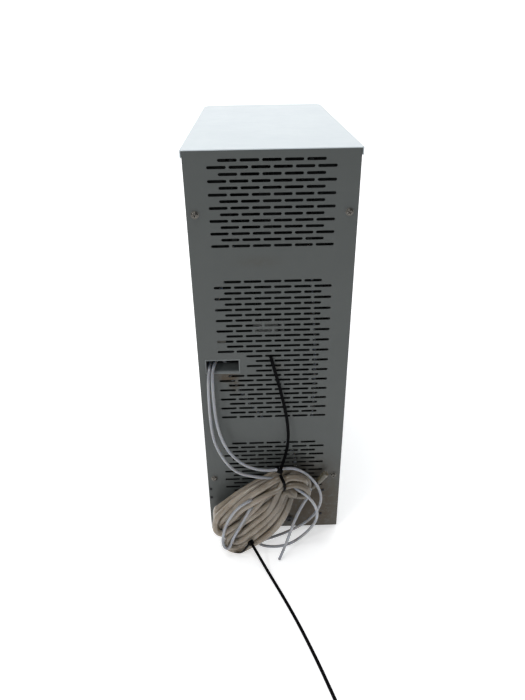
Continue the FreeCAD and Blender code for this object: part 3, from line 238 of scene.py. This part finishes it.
def make_materials():
    return {
        # One cabinet paint at three brightnesses: the rear coat is painted dark for the shade the rear
        # stands in, the lid coat pale for the light on its top, and the side sheet coat in between.
        "rear": shaded_rear_paint(),
        "painted_sheet": plain_coat("sheet_coat", (0.20, 0.218, 0.212), (0.19, 0.207, 0.201)),
        "painted_lid": plain_coat("lit_lid_coat", (0.61, 0.665, 0.685), (0.58, 0.635, 0.66), 0.36),
        # The inner coat is made near-black: painted shade for the cabinet's dark inside as seen through
        # the vents.
        "painted_inside": plain_coat("shade_dark_inner_coat", (0.035, 0.037, 0.037), (0.027, 0.029, 0.029), 0.7),
        "zinc_steel": metal("zinc", (0.20, 0.19, 0.17), 0.4),
        # The screw heads' zinc is made dark: a painted reflection of dark surroundings; the side_glint
        # lamp gives their bright spots.
        "bright_steel": metal("dark_reflection_zinc", (0.16, 0.15, 0.135), 0.2),
        "dark_steel": metal("black_oxide", (0.05, 0.05, 0.055), 0.45),
        "stainless": metal("stainless", (0.66, 0.67, 0.68), 0.22, (1, 1, 12), 90),
        "cast_aluminium": metal("cast_aluminium", (0.5, 0.51, 0.52), 0.5, (1, 1, 1), 500, 0.3),
        "rubber": moulded("rubber", (0.02, 0.02, 0.021), 0.75, 900, 0.2),
        "black_plastic": moulded("black_plastic", (0.018, 0.018, 0.019), 0.42),
        # The fan's plastic is made near-black and dull: painted shade behind the vent slots.
        "shade_dark_fan_plastic": moulded("shade_dark_fan_plastic", (0.007, 0.007, 0.007), 0.7, 900, 0.1,
                               {"Specular IOR Level": 0.15}),
        "tie_plastic": moulded("tie_nylon", (0.002, 0.002, 0.0025), 0.4, 700, 0.04,
                               {"Specular IOR Level": 0.04}),
        "grey_plastic": moulded("grey_plastic", (0.17, 0.185, 0.185), 0.5),
        "white_plastic": moulded("white_plastic", (0.75, 0.75, 0.72), 0.35),
        "red_plastic": moulded("red_plastic", (0.45, 0.02, 0.015), 0.25, 400, 0.04),
        "green_lens": moulded("green_lens", (0.03, 0.35, 0.08), 0.12, 300, 0.03,
                              {"Transmission Weight": 0.4}),
        "clear_plastic": clear("clear_plastic", (0.78, 0.86, 0.9), 0.08, 0.8),
        "clear_glass": clear("clear_glass", (0.88, 0.94, 0.95)),
        "ceramic": moulded("ceramic", (0.8, 0.78, 0.72), 0.2, 250, 0.03),
        "white_tube": hose_skin("tube_skin", (0.40, 0.415, 0.45), (0.31, 0.325, 0.36), 0.22, 0.15),
        # The first dark patch is painted shade on the hank's right-hand end, where its turns lie in
        # shadow; the second makes the hose's free end darker.
        "beige_hose": hose_skin("hose_skin", (0.43, 0.375, 0.31), (0.235, 0.193, 0.142), 0.22, 0.12, (
            ((-0.035, 0.28, 0.115), (0.10, 0.09, 0.075), (0.105, 0.086, 0.06)),
            ((-0.082, 0.262, 0.132), (0.03, 0.03, 0.03), (0.10, 0.09, 0.06)))),
    }


def dress_nodes(materials):
    """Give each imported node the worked-out material of its slot."""
    slots = {entry["node"]: entry["material_slot"] for entry in frame["record"]["subparts"]}
    # The fan, its bracket, the equipment plate and the machine screws get dark paint and dark plastic in
    # place of their own zinc and plastic: painted shade, so the vent slots read dark.
    slots.update(rear_panel="rear", fan_bracket="painted_inside",
                 equipment_plate="painted_inside", machine_screws="painted_inside",
                 fan_frame="shade_dark_fan_plastic", fan_rotor="shade_dark_fan_plastic")
    for name, slot in slots.items():
        for holder in node_object(name).material_slots:
            holder.material = materials[slot]


def node_object(name):
    found = frame["nodes"][name]
    return found if isinstance(found, bpy.types.Object) else bpy.data.objects[name]


# ---------------------------------------------------------------- mesh helpers

def new_object(name, data, material):
    """Put a piece of its own on the cabinet, with its material."""
    piece = bpy.data.objects.new(name, data)
    bpy.context.collection.objects.link(piece)
    data.materials.append(material)
    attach(piece, ROOT)
    return piece


def mesh_object(name, builder, material, smooth=True):
    """Make an object whose mesh the builder fills in a bmesh."""
    mesh = bpy.data.meshes.new(name)
    form = bmesh.new()
    builder(form)
    bmesh.ops.recalc_face_normals(form, faces=form.faces)
    form.to_mesh(mesh)
    form.free()
    for face in mesh.polygons:
        face.use_smooth = smooth
    return new_object(name, mesh, material)


# ---------------------------------------------------------------- hoses

# The inlet tube: from its connector out of the port, down the panel, through the upper tie and
# round the outer loop to the floor; the fold then goes up behind the hank and over its front
INLET_ROUTE = [
    (84, 212, 352), (88, 229, 353.5), (91.8, 247, 353.5), (93.8, 260, 344), (94, 266, 320),
    (93.2, 268, 290), (91.5, 268, 262), (87, 269, 236), (78.5, 270.5, 211), (66, 272, 192),
    (51, 274.5, 178.5), (34, 276, 170.5), (17, 276.5, 167), (2, 276.5, 166.5), (-12, 275.5, 168.5),
    (-29, 275.5, 169.5), (-44, 273.5, 161.5), (-58.5, 271, 147), (-70.5, 270, 129),
    (-79, 269, 109), (-81.5, 268, 88), (-77.5, 267.5, 68), (-68, 268, 50.5), (-54.5, 268.5, 35.5),
    (-38.5, 268, 22), (-20, 267.5, 10.5), (0, 269.5, 3.2), (17, 275, 2.8), (31, 281, 3.4)]
INLET_FOLD = [
    (45, 276, 5), (57, 268, 11), (65, 261, 24), (66, 258.5, 42), (60, 258.5, 62), (51, 261, 81),
    (42, 267, 96), (37, 276, 106), (37, 286, 112), (42, 293, 115.5), (50.5, 297.5, 115),
    (61, 299, 107.5), (70, 300.5, 97), (78.5, 302, 83), (85.2, 304, 68.5), (89.5, 306, 52),
    (91.5, 307.5, 36.5), (89.5, 309, 25), (84, 309.5, 20), (79, 309, 25), (75, 307.5, 36.5),
    (69.7, 306, 49.5), (60.5, 304, 67.5), (51.5, 301.5, 84.5), (44.5, 297.5, 97), (39, 290.5, 101),
    (37, 282, 97)]

# The outlet tube: out of the port beside the inlet, through the tie, round the nearer loop to the
# floor, up behind the hank and down again to its free end
OUTLET_ROUTE = [
    (98, 212, 352), (98, 232, 353), (98.5, 252, 350), (100, 261, 336), (100.8, 264, 312),
    (101, 265, 284), (100.5, 265, 256), (98.6, 265.5, 228), (92.5, 267, 206), (83.5, 270, 187),
    (71, 273, 169.5), (57, 275, 159.5), (40, 276, 155), (24, 276.8, 152), (8, 277.2, 150.2),
    (-8, 278, 146), (-23, 282, 140.5), (-36, 287.5, 134.5), (-48.5, 291, 127), (-61, 292.5, 113.5),
    (-70, 291, 94), (-73, 289.5, 73.5), (-69, 288, 54), (-59.5, 287, 36), (-46, 287.5, 20),
    (-30, 289.5, 8.5), (-12, 291.5, 3),
    (7, 292.5, 2.8), (25, 290, 4.5), (38, 283, 12), (40, 273, 25), (30, 264.5, 40),
    (14, 260.5, 57), (-5, 259.5, 76), (-22, 259.5, 97), (-35, 260.5, 113), (-47, 264, 122.5),
    (-57, 270, 125), (-61.5, 276, 120.5), (-57.5, 281, 112), (-50.5, 285, 102.5), (-43.5, 289.5, 91.5),
    (-37, 294, 79), (-31, 298.5, 65.5), (-26, 303, 51.5), (-21, 307.5, 38), (-16, 311.5, 25),
    (-11, 315.5, 13.5), (-5.5, 321, 3.6)]

# The thick hose's free end, pointing up and outwards from under the tie
HOSE_END_ROUTE = [(-62, 262, 112), (-72, 260.5, 121), (-81, 260, 131), (-88.5, 260, 142)]

TUBE, TUBE_BORE = 5 * MM, 3.2 * MM
HOSE, HOSE_BORE = 11 * MM, 7.5 * MM
END_SIDES = 24


def metres(points):
    return [Vector(point) * MM for point in points]


def spline_curve(name, points, radius):
    """A round cord along one smooth spline, whose control points are the route's."""
    data = bpy.data.curves.new(name, "CURVE")
    data.dimensions = "3D"
    spline = data.splines.new("NURBS")
    spline.points.add(len(points) - 1)
    for point, place in zip(spline.points, points):
        point.co = (*place, 1)
    spline.order_u = 3
    spline.use_endpoint_u = True
    spline.resolution_u = 8
    data.bevel_depth = radius
    data.bevel_resolution = 6
    data.use_fill_caps = True
    return data


def centre_line(points):
    """Points along the smooth spline of a route."""
    data = spline_curve("line", points, 0)
    data.use_fill_caps = False
    holder = bpy.data.objects.new("line", data)
    bpy.context.collection.objects.link(holder)
    mesh = bpy.data.meshes.new_from_object(holder)
    line = [vertex.co.copy() for vertex in mesh.vertices]
    bpy.data.objects.remove(holder)
    bpy.data.curves.remove(data)
    bpy.data.meshes.remove(mesh)
    return line


def line_length(line):
    return sum((b - a).length for a, b in zip(line, line[1:]))


def open_end(name, line, radius, bore, material):
    """The cut end of a tube: a flat ring round a dark bore that runs a little way in."""
    tip, back = line[-1], (line[-2] - line[-1]).normalized()
    turn = back.to_track_quat("Z", "Y").to_matrix().to_4x4()
    proud = 0.4 * MM
    rings = [(radius, 2.5), (radius * 1.001, 0.3), (radius * 0.95, 0),
             (bore * 1.05, 0), (bore, 0.4), (bore, 6)]

    def build(form):
        loops = []
        for size, depth in rings:
            loops.append([form.verts.new(Matrix.Translation(tip) @ turn @ Vector(
                (size * math.cos(a), size * math.sin(a), depth * MM - proud)))
                for a in [math.tau * i / END_SIDES for i in range(END_SIDES)]])
        for inner, outer in zip(loops, loops[1:]):
            for i in range(END_SIDES):
                form.faces.new((inner[i - 1], inner[i], outer[i], outer[i - 1]))
        form.faces.new(loops[-1])

    return mesh_object(name, build, material)


# ---------------------------------------------------------------- the hank of spare hose

HANK_LEAN = math.radians(6.8)
HANK_FOOT = Vector((0, 290.5, 0)) * MM
HANK_MIDDLE = Vector((20, 0, 85)) * MM
# Its plane: along runs down to the lobes, across runs square to that and upwards, out points off
# the panel
LEAN_UP = Vector((0, -math.sin(HANK_LEAN), math.cos(HANK_LEAN)))
HANK_OUT = Vector((0, math.cos(HANK_LEAN), math.sin(HANK_LEAN)))
HANK_ALONG = Vector((0.8, 0, 0)) - 0.6 * LEAN_UP
HANK_ACROSS = Vector((0.6, 0, 0)) + 0.8 * LEAN_UP

# Each turn: far end along, its upper and lower side across, the two sides at mid-length, the two
# sides at the tied neck, near end along and across, and the two sides' heights out of the plane
TURNS = [
    (85, 39, -3, 43, -5, 27, 18, -80, 1, -1, -2),
    (77, 31, 14, 34, 12, 24, 16, -91, -3, 10, 9),
    (97, 3, -42, 25, -26, 32, 20, -76, 3, 9, 8),
    (86, -12, -29, -6, -30, 35, 10, -90, 0, 4, 4),
    (97, -2, -42, 14, -44, 33, 9, -76, -3, -4, -4),
    (90, -15, -33, -12, -37, 29, 8, -94, 3, 2, 6),
    (76, 29, 15, 31, 12, 27, 14, -75, 4, -10, -9),
    (82, 34, 6, 38, 4, 30, 16, -84, 0, 3, 3),
    (89, 7, -24, 18, -18, 31, 14, -88, 0, -7, -7),
    (87, 41, -4, 45, 2, 35, 18, -91, -2, -11, -11)]
POINTS_PER_TURN = 16
# The hose starts inside the neck, under the other turns, and joins the first turn at this step
HIDDEN_START = (-74, 22, -12)
FIRST_STEP = 2

# How the turns settle.  Each round a point follows its neighbours' moves by FOLLOW, and keeps KEEP
# of its own; samples within NEAR_ALONG of each other along the hose don't press on each other.
ROUNDS = 240
FOLLOW, KEEP = 0.35, 0.985
NEAR_ALONG = 10
TURN_PRESS, TUBE_PRESS, FRONT_PRESS, STEP = 0.16, 0.3, 0.5, 1.6
CLEARANCE, HANK_FRONT = 0.5 * MM, 12 * MM
HELD = 4


def turn_station(turn, step):
    """Where one turn of the hank is at one of its sixteen steps: (along, across, out)."""
    far, far_top, far_low, mid_top, mid_low, neck_top, neck_low, near, near_mid, out_top, out_low = turn
    out_mid, slant = (out_top + out_low) / 2, far_top / 6
    # Short turns close up at their near end, so they lie inside the longer ones
    width = (-near - 58) / 30
    return [
        (near, near_mid + 2, out_mid * 0.9 - 4),
        (near + 8, near_mid + 2 + 16 * width, out_top * 0.9 - 4), (-64, neck_top, out_top - 2),
        (-36, neck_top * 0.5 + mid_top * 0.5, out_top), (-6, neck_top * 0.1 + mid_top * 0.9, out_top),
        (26, mid_top * 0.85 + far_top * 0.15, out_top), (58, mid_top * 0.2 + far_top * 0.8, out_top),
        (far - 9 - slant, far_top, out_top), (far, (far_top + far_low) / 2, out_mid),
        (far - 9 + slant, far_low, out_low), (58, far_low * 0.8 + mid_low * 0.2, out_low),
        (26, far_low * 0.15 + mid_low * 0.85, out_low),
        (-8, mid_low * 0.8 + neck_low * 0.2, out_low), (-36, mid_low * 0.45 + neck_low * 0.55, out_low),
        (-60, neck_low, out_low - 2), (near + 9, near_mid + 2 - 11 * width, out_low * 0.9 - 4)][step]


def hank_start():
    """The turns before they settle, each easing into the next, from the neck to the free end."""
    places = [hank_place(*HIDDEN_START)]
    for index in range(FIRST_STEP, len(TURNS) * POINTS_PER_TURN):
        turn, step = divmod(index, POINTS_PER_TURN)
        following = TURNS[min(turn + 1, len(TURNS) - 1)]
        share = step / POINTS_PER_TURN
        blended = [a * (1 - share) + b * share for a, b in zip(TURNS[turn], following)]
        places.append(hank_place(*turn_station(blended, step)))
    return places + metres(HOSE_END_ROUTE)


def hank_place(along, across, out):
    return HANK_FOOT + HANK_MIDDLE + (HANK_ALONG * along + HANK_ACROSS * across + HANK_OUT * out) * MM


def span_weights(count, per_span=4):
    """The share each control point has in samples taken along a smooth spline of that many points."""
    weights = np.zeros(((count - 2) * per_span, count))
    for row in range(len(weights)):
        span, part = divmod(row, per_span)
        t = (part + 0.5) / per_span
        weights[row, span:span + 3] = (1 - t) ** 2 / 2, 0.5 + t * (1 - t), t * t / 2
    return weights


def push_apart(points, others, gap, share):
    """The moves that take points away from others, where they are nearer than the gap."""
    offset = points[:, None, :] - others[None, :, :]
    distance = np.linalg.norm(offset, axis=2)
    short = np.clip(gap - distance, 0, None) * share
    return (offset / np.maximum(distance, 1e-6)[..., None] * short[..., None]).sum(axis=1)


def settle(points, fixed):
    """Let the turns press on each other, on the tubes, on the panel and on the floor."""
    points = np.array([tuple(point) for point in points])
    goal = points.copy()
    weights = span_weights(len(points))
    spread = weights.T / weights.sum(axis=0)[:, None]
    index = np.arange(len(weights))
    apart = (np.abs(index[:, None] - index[None, :]) > NEAR_ALONG).astype(float)
    out, foot = np.array(HANK_OUT), np.array(HANK_FOOT)
    panel = rear_face() + HOSE / 2 + CLEARANCE
    floor = HOSE / 2 + CLEARANCE
    for _round in range(ROUNDS):
        moved = points - goal
        moved[1:-1] += FOLLOW * ((moved[:-2] + moved[2:]) / 2 - moved[1:-1])
        points = goal + KEEP * moved
        line = weights @ points
        move = push_apart(line, line, HOSE, TURN_PRESS * apart)
        move += push_apart(line, fixed, (HOSE + TUBE) / 2, TUBE_PRESS)
        move[:, 2] += np.clip(floor - line[:, 2], 0, None)
        move[:, 1] += np.clip(panel - line[:, 1], 0, None)
        move -= FRONT_PRESS * np.clip((line - foot) @ out - HANK_FRONT, 0, None)[:, None] * out
        points[:-HELD] += (spread @ move)[:-HELD] * STEP
        points[:-HELD, 2] = np.maximum(points[:-HELD, 2], HOSE / 2)
        points[-HELD:] = goal[-HELD:]
    return [Vector(point) for point in points]


def rear_face():
    """How far back the rear panel's outer face is."""
    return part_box("rear_panel")[1][1]


def make_hoses(materials):
    skin = materials["white_tube"]
    lines = []
    for name, route in (("inlet_tube", INLET_ROUTE + INLET_FOLD), ("outlet_tube", OUTLET_ROUTE)):
        points = metres(route)
        line = centre_line(points)
        lines += line
        tube = new_object(f"{name}_run", spline_curve(f"{name}_run", points, TUBE / 2), skin)
        end = open_end(f"{name}_end", line, TUBE / 2, TUBE_BORE / 2, skin)
        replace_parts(tube, name)
        line_length(line)
    skin = materials["beige_hose"]
    settled = settle(hank_start(), np.array([tuple(point) for point in lines]))
    hank_line = centre_line(settled)
    hose = new_object("hank_hose", spline_curve("hank_hose", settled, HOSE / 2), skin)
    end = open_end("hank_end", hank_line, HOSE / 2, HOSE_BORE / 2, skin)
    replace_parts(hose, "hose_coil", "hose_end")
    line_length(hank_line)


# ---------------------------------------------------------------- cable ties

# The upper strap hangs from a slot to the head on the hank's neck; the lower one runs from its
# head across the floor.  Each band goes once round the hank.
UPPER_STRAP_ROUTE = [
    (4.5, 246, 371), (4, 251, 371), (2.5, 255, 366), (-1, 256, 352), (-6.5, 256.5, 330),
    (-12.5, 257, 304), (-18, 258, 277), (-22.3, 259.5, 249), (-23.8, 262, 224), (-21, 267.5, 202),
    (-14.5, 277, 184.5), (-8.5, 287, 173)]
UPPER_BAND_ROUTE = [
    (-8.5, 290, 169), (-12, 294.5, 163), (-15.5, 296.5, 153.5), (-16.5, 296, 143),
    (-14, 291, 133), (-9, 281, 129), (-4, 270, 131), (-1, 262.5, 139), (-0.5, 261, 150),
    (-2.5, 263.5, 161), (-5.5, 271, 168.5), (-8, 280, 171)]
LOWER_BAND_ROUTE = [
    (46, 309, 32), (51, 311, 22.5), (58, 311.5, 13.5), (66.5, 308, 6.5), (75, 300, 3),
    (81, 289, 3.2), (82, 278, 9), (78, 270, 18), (70, 266, 29), (61, 268, 38),
    (53, 277, 43.5), (47.5, 288.5, 43.5), (44.5, 299, 38.5)]
LOWER_STRAP_ROUTE = [
    (42.5, 308.5, 33), (36.5, 314.5, 24.5), (29.5, 322.5, 15.5), (21.5, 334, 8), (13, 349, 3.4),
    (3.5, 368, 1.7), (-7, 390.5, 1.6), (-17.8, 414.7, 1.6), (-29, 441, 1.6), (-39.5, 468, 1.6),
    (-51, 499, 1.6), (-62, 531, 1.6), (-72.5, 563, 1.6)]
STRAP_WIDTH, STRAP_THICK = 5 * MM, 1.3 * MM


def ribbon(name, line, facing, material):
    """A flat strap along a line: facing gives the way its broad face looks at each point."""
    half, thick = STRAP_WIDTH / 2, STRAP_THICK / 2
    bevel = 0.3 * MM
    section = [(-half, -thick + bevel), (-half + bevel, -thick), (half - bevel, -thick),
               (half, -thick + bevel), (half, thick - bevel), (half - bevel, thick),
               (-half + bevel, thick), (-half, thick - bevel)]

    def build(form):
        loops = []
        for i, point in enumerate(line):
            along = (line[min(i + 1, len(line) - 1)] - line[max(i - 1, 0)]).normalized()
            face = facing(point)
            face = (face - along * face.dot(along)).normalized()
            side = along.cross(face)
            loops.append([form.verts.new(point + side * u + face * w) for u, w in section])
        for a, b in zip(loops, loops[1:]):
            for i in range(len(section)):
                form.faces.new((a[i - 1], a[i], b[i], b[i - 1]))
        form.faces.new(loops[0])
        form.faces.new(loops[-1])

    return mesh_object(name, build, material, smooth=False)


def make_ties(materials):
    black = materials["tie_plastic"]

    def off_panel(_point):
        return Vector((0.15, 1, 0.1))

    def up(_point):
        return Vector((0, 0.25, 1))

    for label, strap_route, band_route, facing, head_size in (
            ("upper", UPPER_STRAP_ROUTE, UPPER_BAND_ROUTE, off_panel, (8, 6.5, 7)),
            ("lower", LOWER_STRAP_ROUTE, LOWER_BAND_ROUTE, up, (8, 7, 8))):
        band_points = metres(band_route)
        middle = sum(band_points, Vector()) / len(band_points)

        def outwards(point, middle=middle):
            return point - middle

        strap_line = centre_line(metres(strap_route))
        strap = ribbon(f"tie_{label}_strap", strap_line, facing, black)
        band = ribbon(f"tie_{label}_band", centre_line(band_points), outwards, black)
        head = tie_head(f"tie_{label}_head", metres(strap_route)[-1 if label == "upper" else 0],
                        strap_line[-2 if label == "upper" else 1], head_size, black)
        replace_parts(strap, f"cable_tie_{label}")
        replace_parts(band, f"cable_tie_{label}")
        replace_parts(head, f"cable_tie_{label}")
        if label == "lower":
            tuple(strap_line[0])
            line_length(strap_line)
            [tuple(p) for p in strap_line]


def tie_head(name, place, towards, size, material):
    """The square ratchet head, its edges rounded, with the strap's window through it."""
    along = (place - towards).normalized()
    turn = along.to_track_quat("Z", "Y").to_matrix().to_4x4()
    rounding, rim, sunk = 1.1 * MM, 1.1 * MM, 1.5 * MM

    def build(form):
        bmesh.ops.create_cube(form, size=1, matrix=Matrix.Translation(place) @ turn @ Matrix.Diagonal(
            [side * MM for side in size] + [1]))
        bmesh.ops.bevel(form, geom=form.edges[:], offset=rounding, segments=3, profile=0.7,
                        affect="EDGES")
        window = [face for face in form.faces
                  if abs(face.normal.dot(along)) > 0.99 and face.calc_area() > 1e-5]
        bmesh.ops.inset_individual(form, faces=window, thickness=rim, depth=-sunk)

    return mesh_object(name, build, material)


# ---------------------------------------------------------------- fixings on the rear panel

# Where they are on the panel: how far from its middle and how high, in millimetres
REAR_SCREWS = [(103, 129), (103, 589.5), (-103, 129), (-103, 589.5)]
SMALL_SCREWS = [(89, 72), (-86, 95), (-84, 38), (111, 104), (111, 84.5)]
DRAIN = (-27, 27)


def lathe(form, profile, matrix, steps, shift=None):
    """Turn (radius, height) corners round the matrix's Z axis; shift may move a point first."""
    loops = []
    for radius, height in profile:
        if radius == 0:
            points = [Vector((0, 0, height))]
        else:
            points = [Vector((radius * math.cos(a), radius * math.sin(a), height))
                      for a in [math.tau * i / steps for i in range(steps)]]
        if shift:
            points = [shift(point) for point in points]
        loops.append([form.verts.new(matrix @ (point * MM)) for point in points])
    for a, b in zip(loops, loops[1:]):
        for i in range(steps):
            corners = [a[i - 1] if len(a) > 1 else a[0], a[i] if len(a) > 1 else None,
                       b[i] if len(b) > 1 else b[0], b[i - 1] if len(b) > 1 else None]
            form.faces.new([corner for corner in corners if corner is not None])


def cross_recess(reach, width, depth, floor):
    """A Phillips recess: points inside the cross sink, towards its middle the deepest."""
    def shift(point):
        narrow, wide = sorted((abs(point.x), abs(point.y)))
        inside = max(0.0, 1 - max(narrow / width, wide / reach) ** 4)
        sunk = depth * inside * (1 - 0.45 * wide / reach)
        return Vector((point.x, point.y, max(point.z - sunk, floor) if inside else point.z))
    return shift


def dome(radius, height, rim, rings=14):
    """A pan head's half-section from its seat to its middle, with a soft shoulder."""
    profile = [(radius * 0.96, 0), (radius, rim * 0.3), (radius, rim)]
    for ring in range(1, rings + 1):
        angle = math.pi / 2 * ring / rings
        profile.append((radius * math.cos(angle) ** 0.8 if ring < rings else 0,
                        rim + (height - rim) * math.sin(angle) ** 0.9))
    return profile


def facing_rear(side, height, out, turn=0.0):
    """A place on the rear panel, Z pointing off it; out is how far from the panel's face."""
    matrix = Matrix.Translation(Vector((side, 0, height)) * MM + Vector((0, rear_face() + out * MM, 0)))
    return matrix @ Matrix.Rotation(math.radians(-90), 4, "X") @ Matrix.Rotation(turn, 4, "Z")


def make_fixings(materials):
    def heads(spots, radius, height, rim, seat, recess):
        """A builder of pan heads, each turned by a different amount as driving leaves them."""
        def build(form):
            for i, (side, level) in enumerate(spots):
                lathe(form, dome(radius, height, rim), facing_rear(side, level, seat, 0.4 + 1.1 * i),
                      48, cross_recess(*recess))
        return build

    screws = mesh_object("pan_head_screws", heads(REAR_SCREWS, 4.5, 2.9, 0.9, 0.8, (2.7, 0.75, 1.5, 0.4)),
                         materials["bright_steel"])
    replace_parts(screws, "rear_panel_screws")

    def washers(form):
        for side, level in REAR_SCREWS:
            lathe(form, [(2.1, 0.75), (4.9, 0.8), (5.4, 0.55), (5.5, 0.25), (5.4, 0)],
                  facing_rear(side, level, 0), 40)

    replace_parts(mesh_object("plain_washers", washers, materials["zinc_steel"]),
                "rear_screw_washers")
    small = mesh_object("small_dark_screws", heads(SMALL_SCREWS, 2.6, 1.5, 0.4, 0, (1.6, 0.5, 0.9, 0.2)),
                        materials["dark_steel"])
    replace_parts(small, "bracket_screws")

    def plug(form):
        """A round plug with a hollow middle and six grip lugs round its face."""
        matrix = facing_rear(*DRAIN, 0)
        lathe(form, [(7.4, 0), (7.5, 0.4), (7.5, 1.5), (7.1, 2.0), (5.4, 2.2), (5.0, 2.9), (3.6, 3.0),
                     (3.3, 1.2), (0, 1.0)], matrix, 40)
        lug, lugs = Matrix.Diagonal((1.1 * MM, 1.2 * MM, 0.8 * MM, 1)), 6
        for i in range(lugs):
            around = Matrix.Rotation(math.tau * i / lugs, 4, "Z")
            place = Matrix.Translation((6.25 * MM, 0, 2.1 * MM))
            bmesh.ops.create_cube(form, size=1, matrix=matrix @ around @ place @ lug)

    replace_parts(mesh_object("drain_plug", plug, materials["black_plastic"]),
                "drain_fitting")


# ---------------------------------------------------------------- stage and lights

def make_stage():
    """A pale floor that curves up into a backdrop, bright enough to read as white paper."""
    paint = Paint("studio_paper", (0.9, 0.9, 0.9), 0.9, extra={
        "Emission Color": (1, 1, 1, 1), "Emission Strength": 0.5})
    paint.color(paint.mix(paint.noise(3), (0.9, 0.9, 0.9), (0.88, 0.88, 0.88)))
    profile = [(5, 0), (-3.2, 0), (-3.8, 0.12), (-4.2, 0.5), (-4.35, 1.2), (-4.4, 5.0)]
    mesh = bpy.data.meshes.new("backdrop")
    points = [(x, y, z) for y, z in profile for x in (-7, 7)]
    faces = [(2 * i, 2 * i + 1, 2 * i + 3, 2 * i + 2) for i in range(len(profile) - 1)]
    mesh.from_pydata(points, [], faces)
    for face in mesh.polygons:
        face.use_smooth = True
    mesh.materials.append(paint.material)
    backdrop = bpy.data.objects.new("backdrop", mesh)
    bpy.context.collection.objects.link(backdrop)


def area_light(name, place, target, size, watts, color=(1, 1, 1)):
    data = bpy.data.lights.new(name, "AREA")
    data.shape = "RECTANGLE"
    data.size, data.size_y = size
    data.energy = watts
    data.color = color
    light = bpy.data.objects.new(name, data)
    light.location = place
    light.rotation_euler = (Vector(target) - Vector(place)).to_track_quat("-Z", "Y").to_euler()
    bpy.context.collection.objects.link(light)


def make_lights():
    area_light("overhead", (0.2, -0.7, 3.4), (0, 0, 0), (3.4, 2.2), 50, (0.97, 0.985, 1.0))
    area_light("backdrop_wash", (0, -1.8, 3.6), (0, -4.2, 0.8), (5.0, 1.2), 30)
    area_light("rear_top", (0.45, 0.65, 2.7), (0, 0.3, 0.1), (0.9, 0.6), 10, (1, 0.99, 0.97))
    area_light("side_glint", (1.5, 1.9, 1.7), (0, 0.25, 0.3), (0.3, 0.3), 10)
    world = bpy.data.worlds.new("studio")
    world.use_nodes = True
    background = world.node_tree.nodes["Background"]
    background.inputs["Color"].default_value = (0.93, 0.96, 1.0, 1)
    background.inputs["Strength"].default_value = 0.32
    bpy.context.scene.world = world


def write_sizes():
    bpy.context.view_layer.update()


def build():
    make_camera()
    materials = make_materials()
    make_hoses(materials)
    make_ties(materials)
    make_fixings(materials)
    dress_nodes(materials)
    make_stage()
    make_lights()
    bpy.context.scene.view_settings.view_transform = "Standard"
    write_sizes()


build()
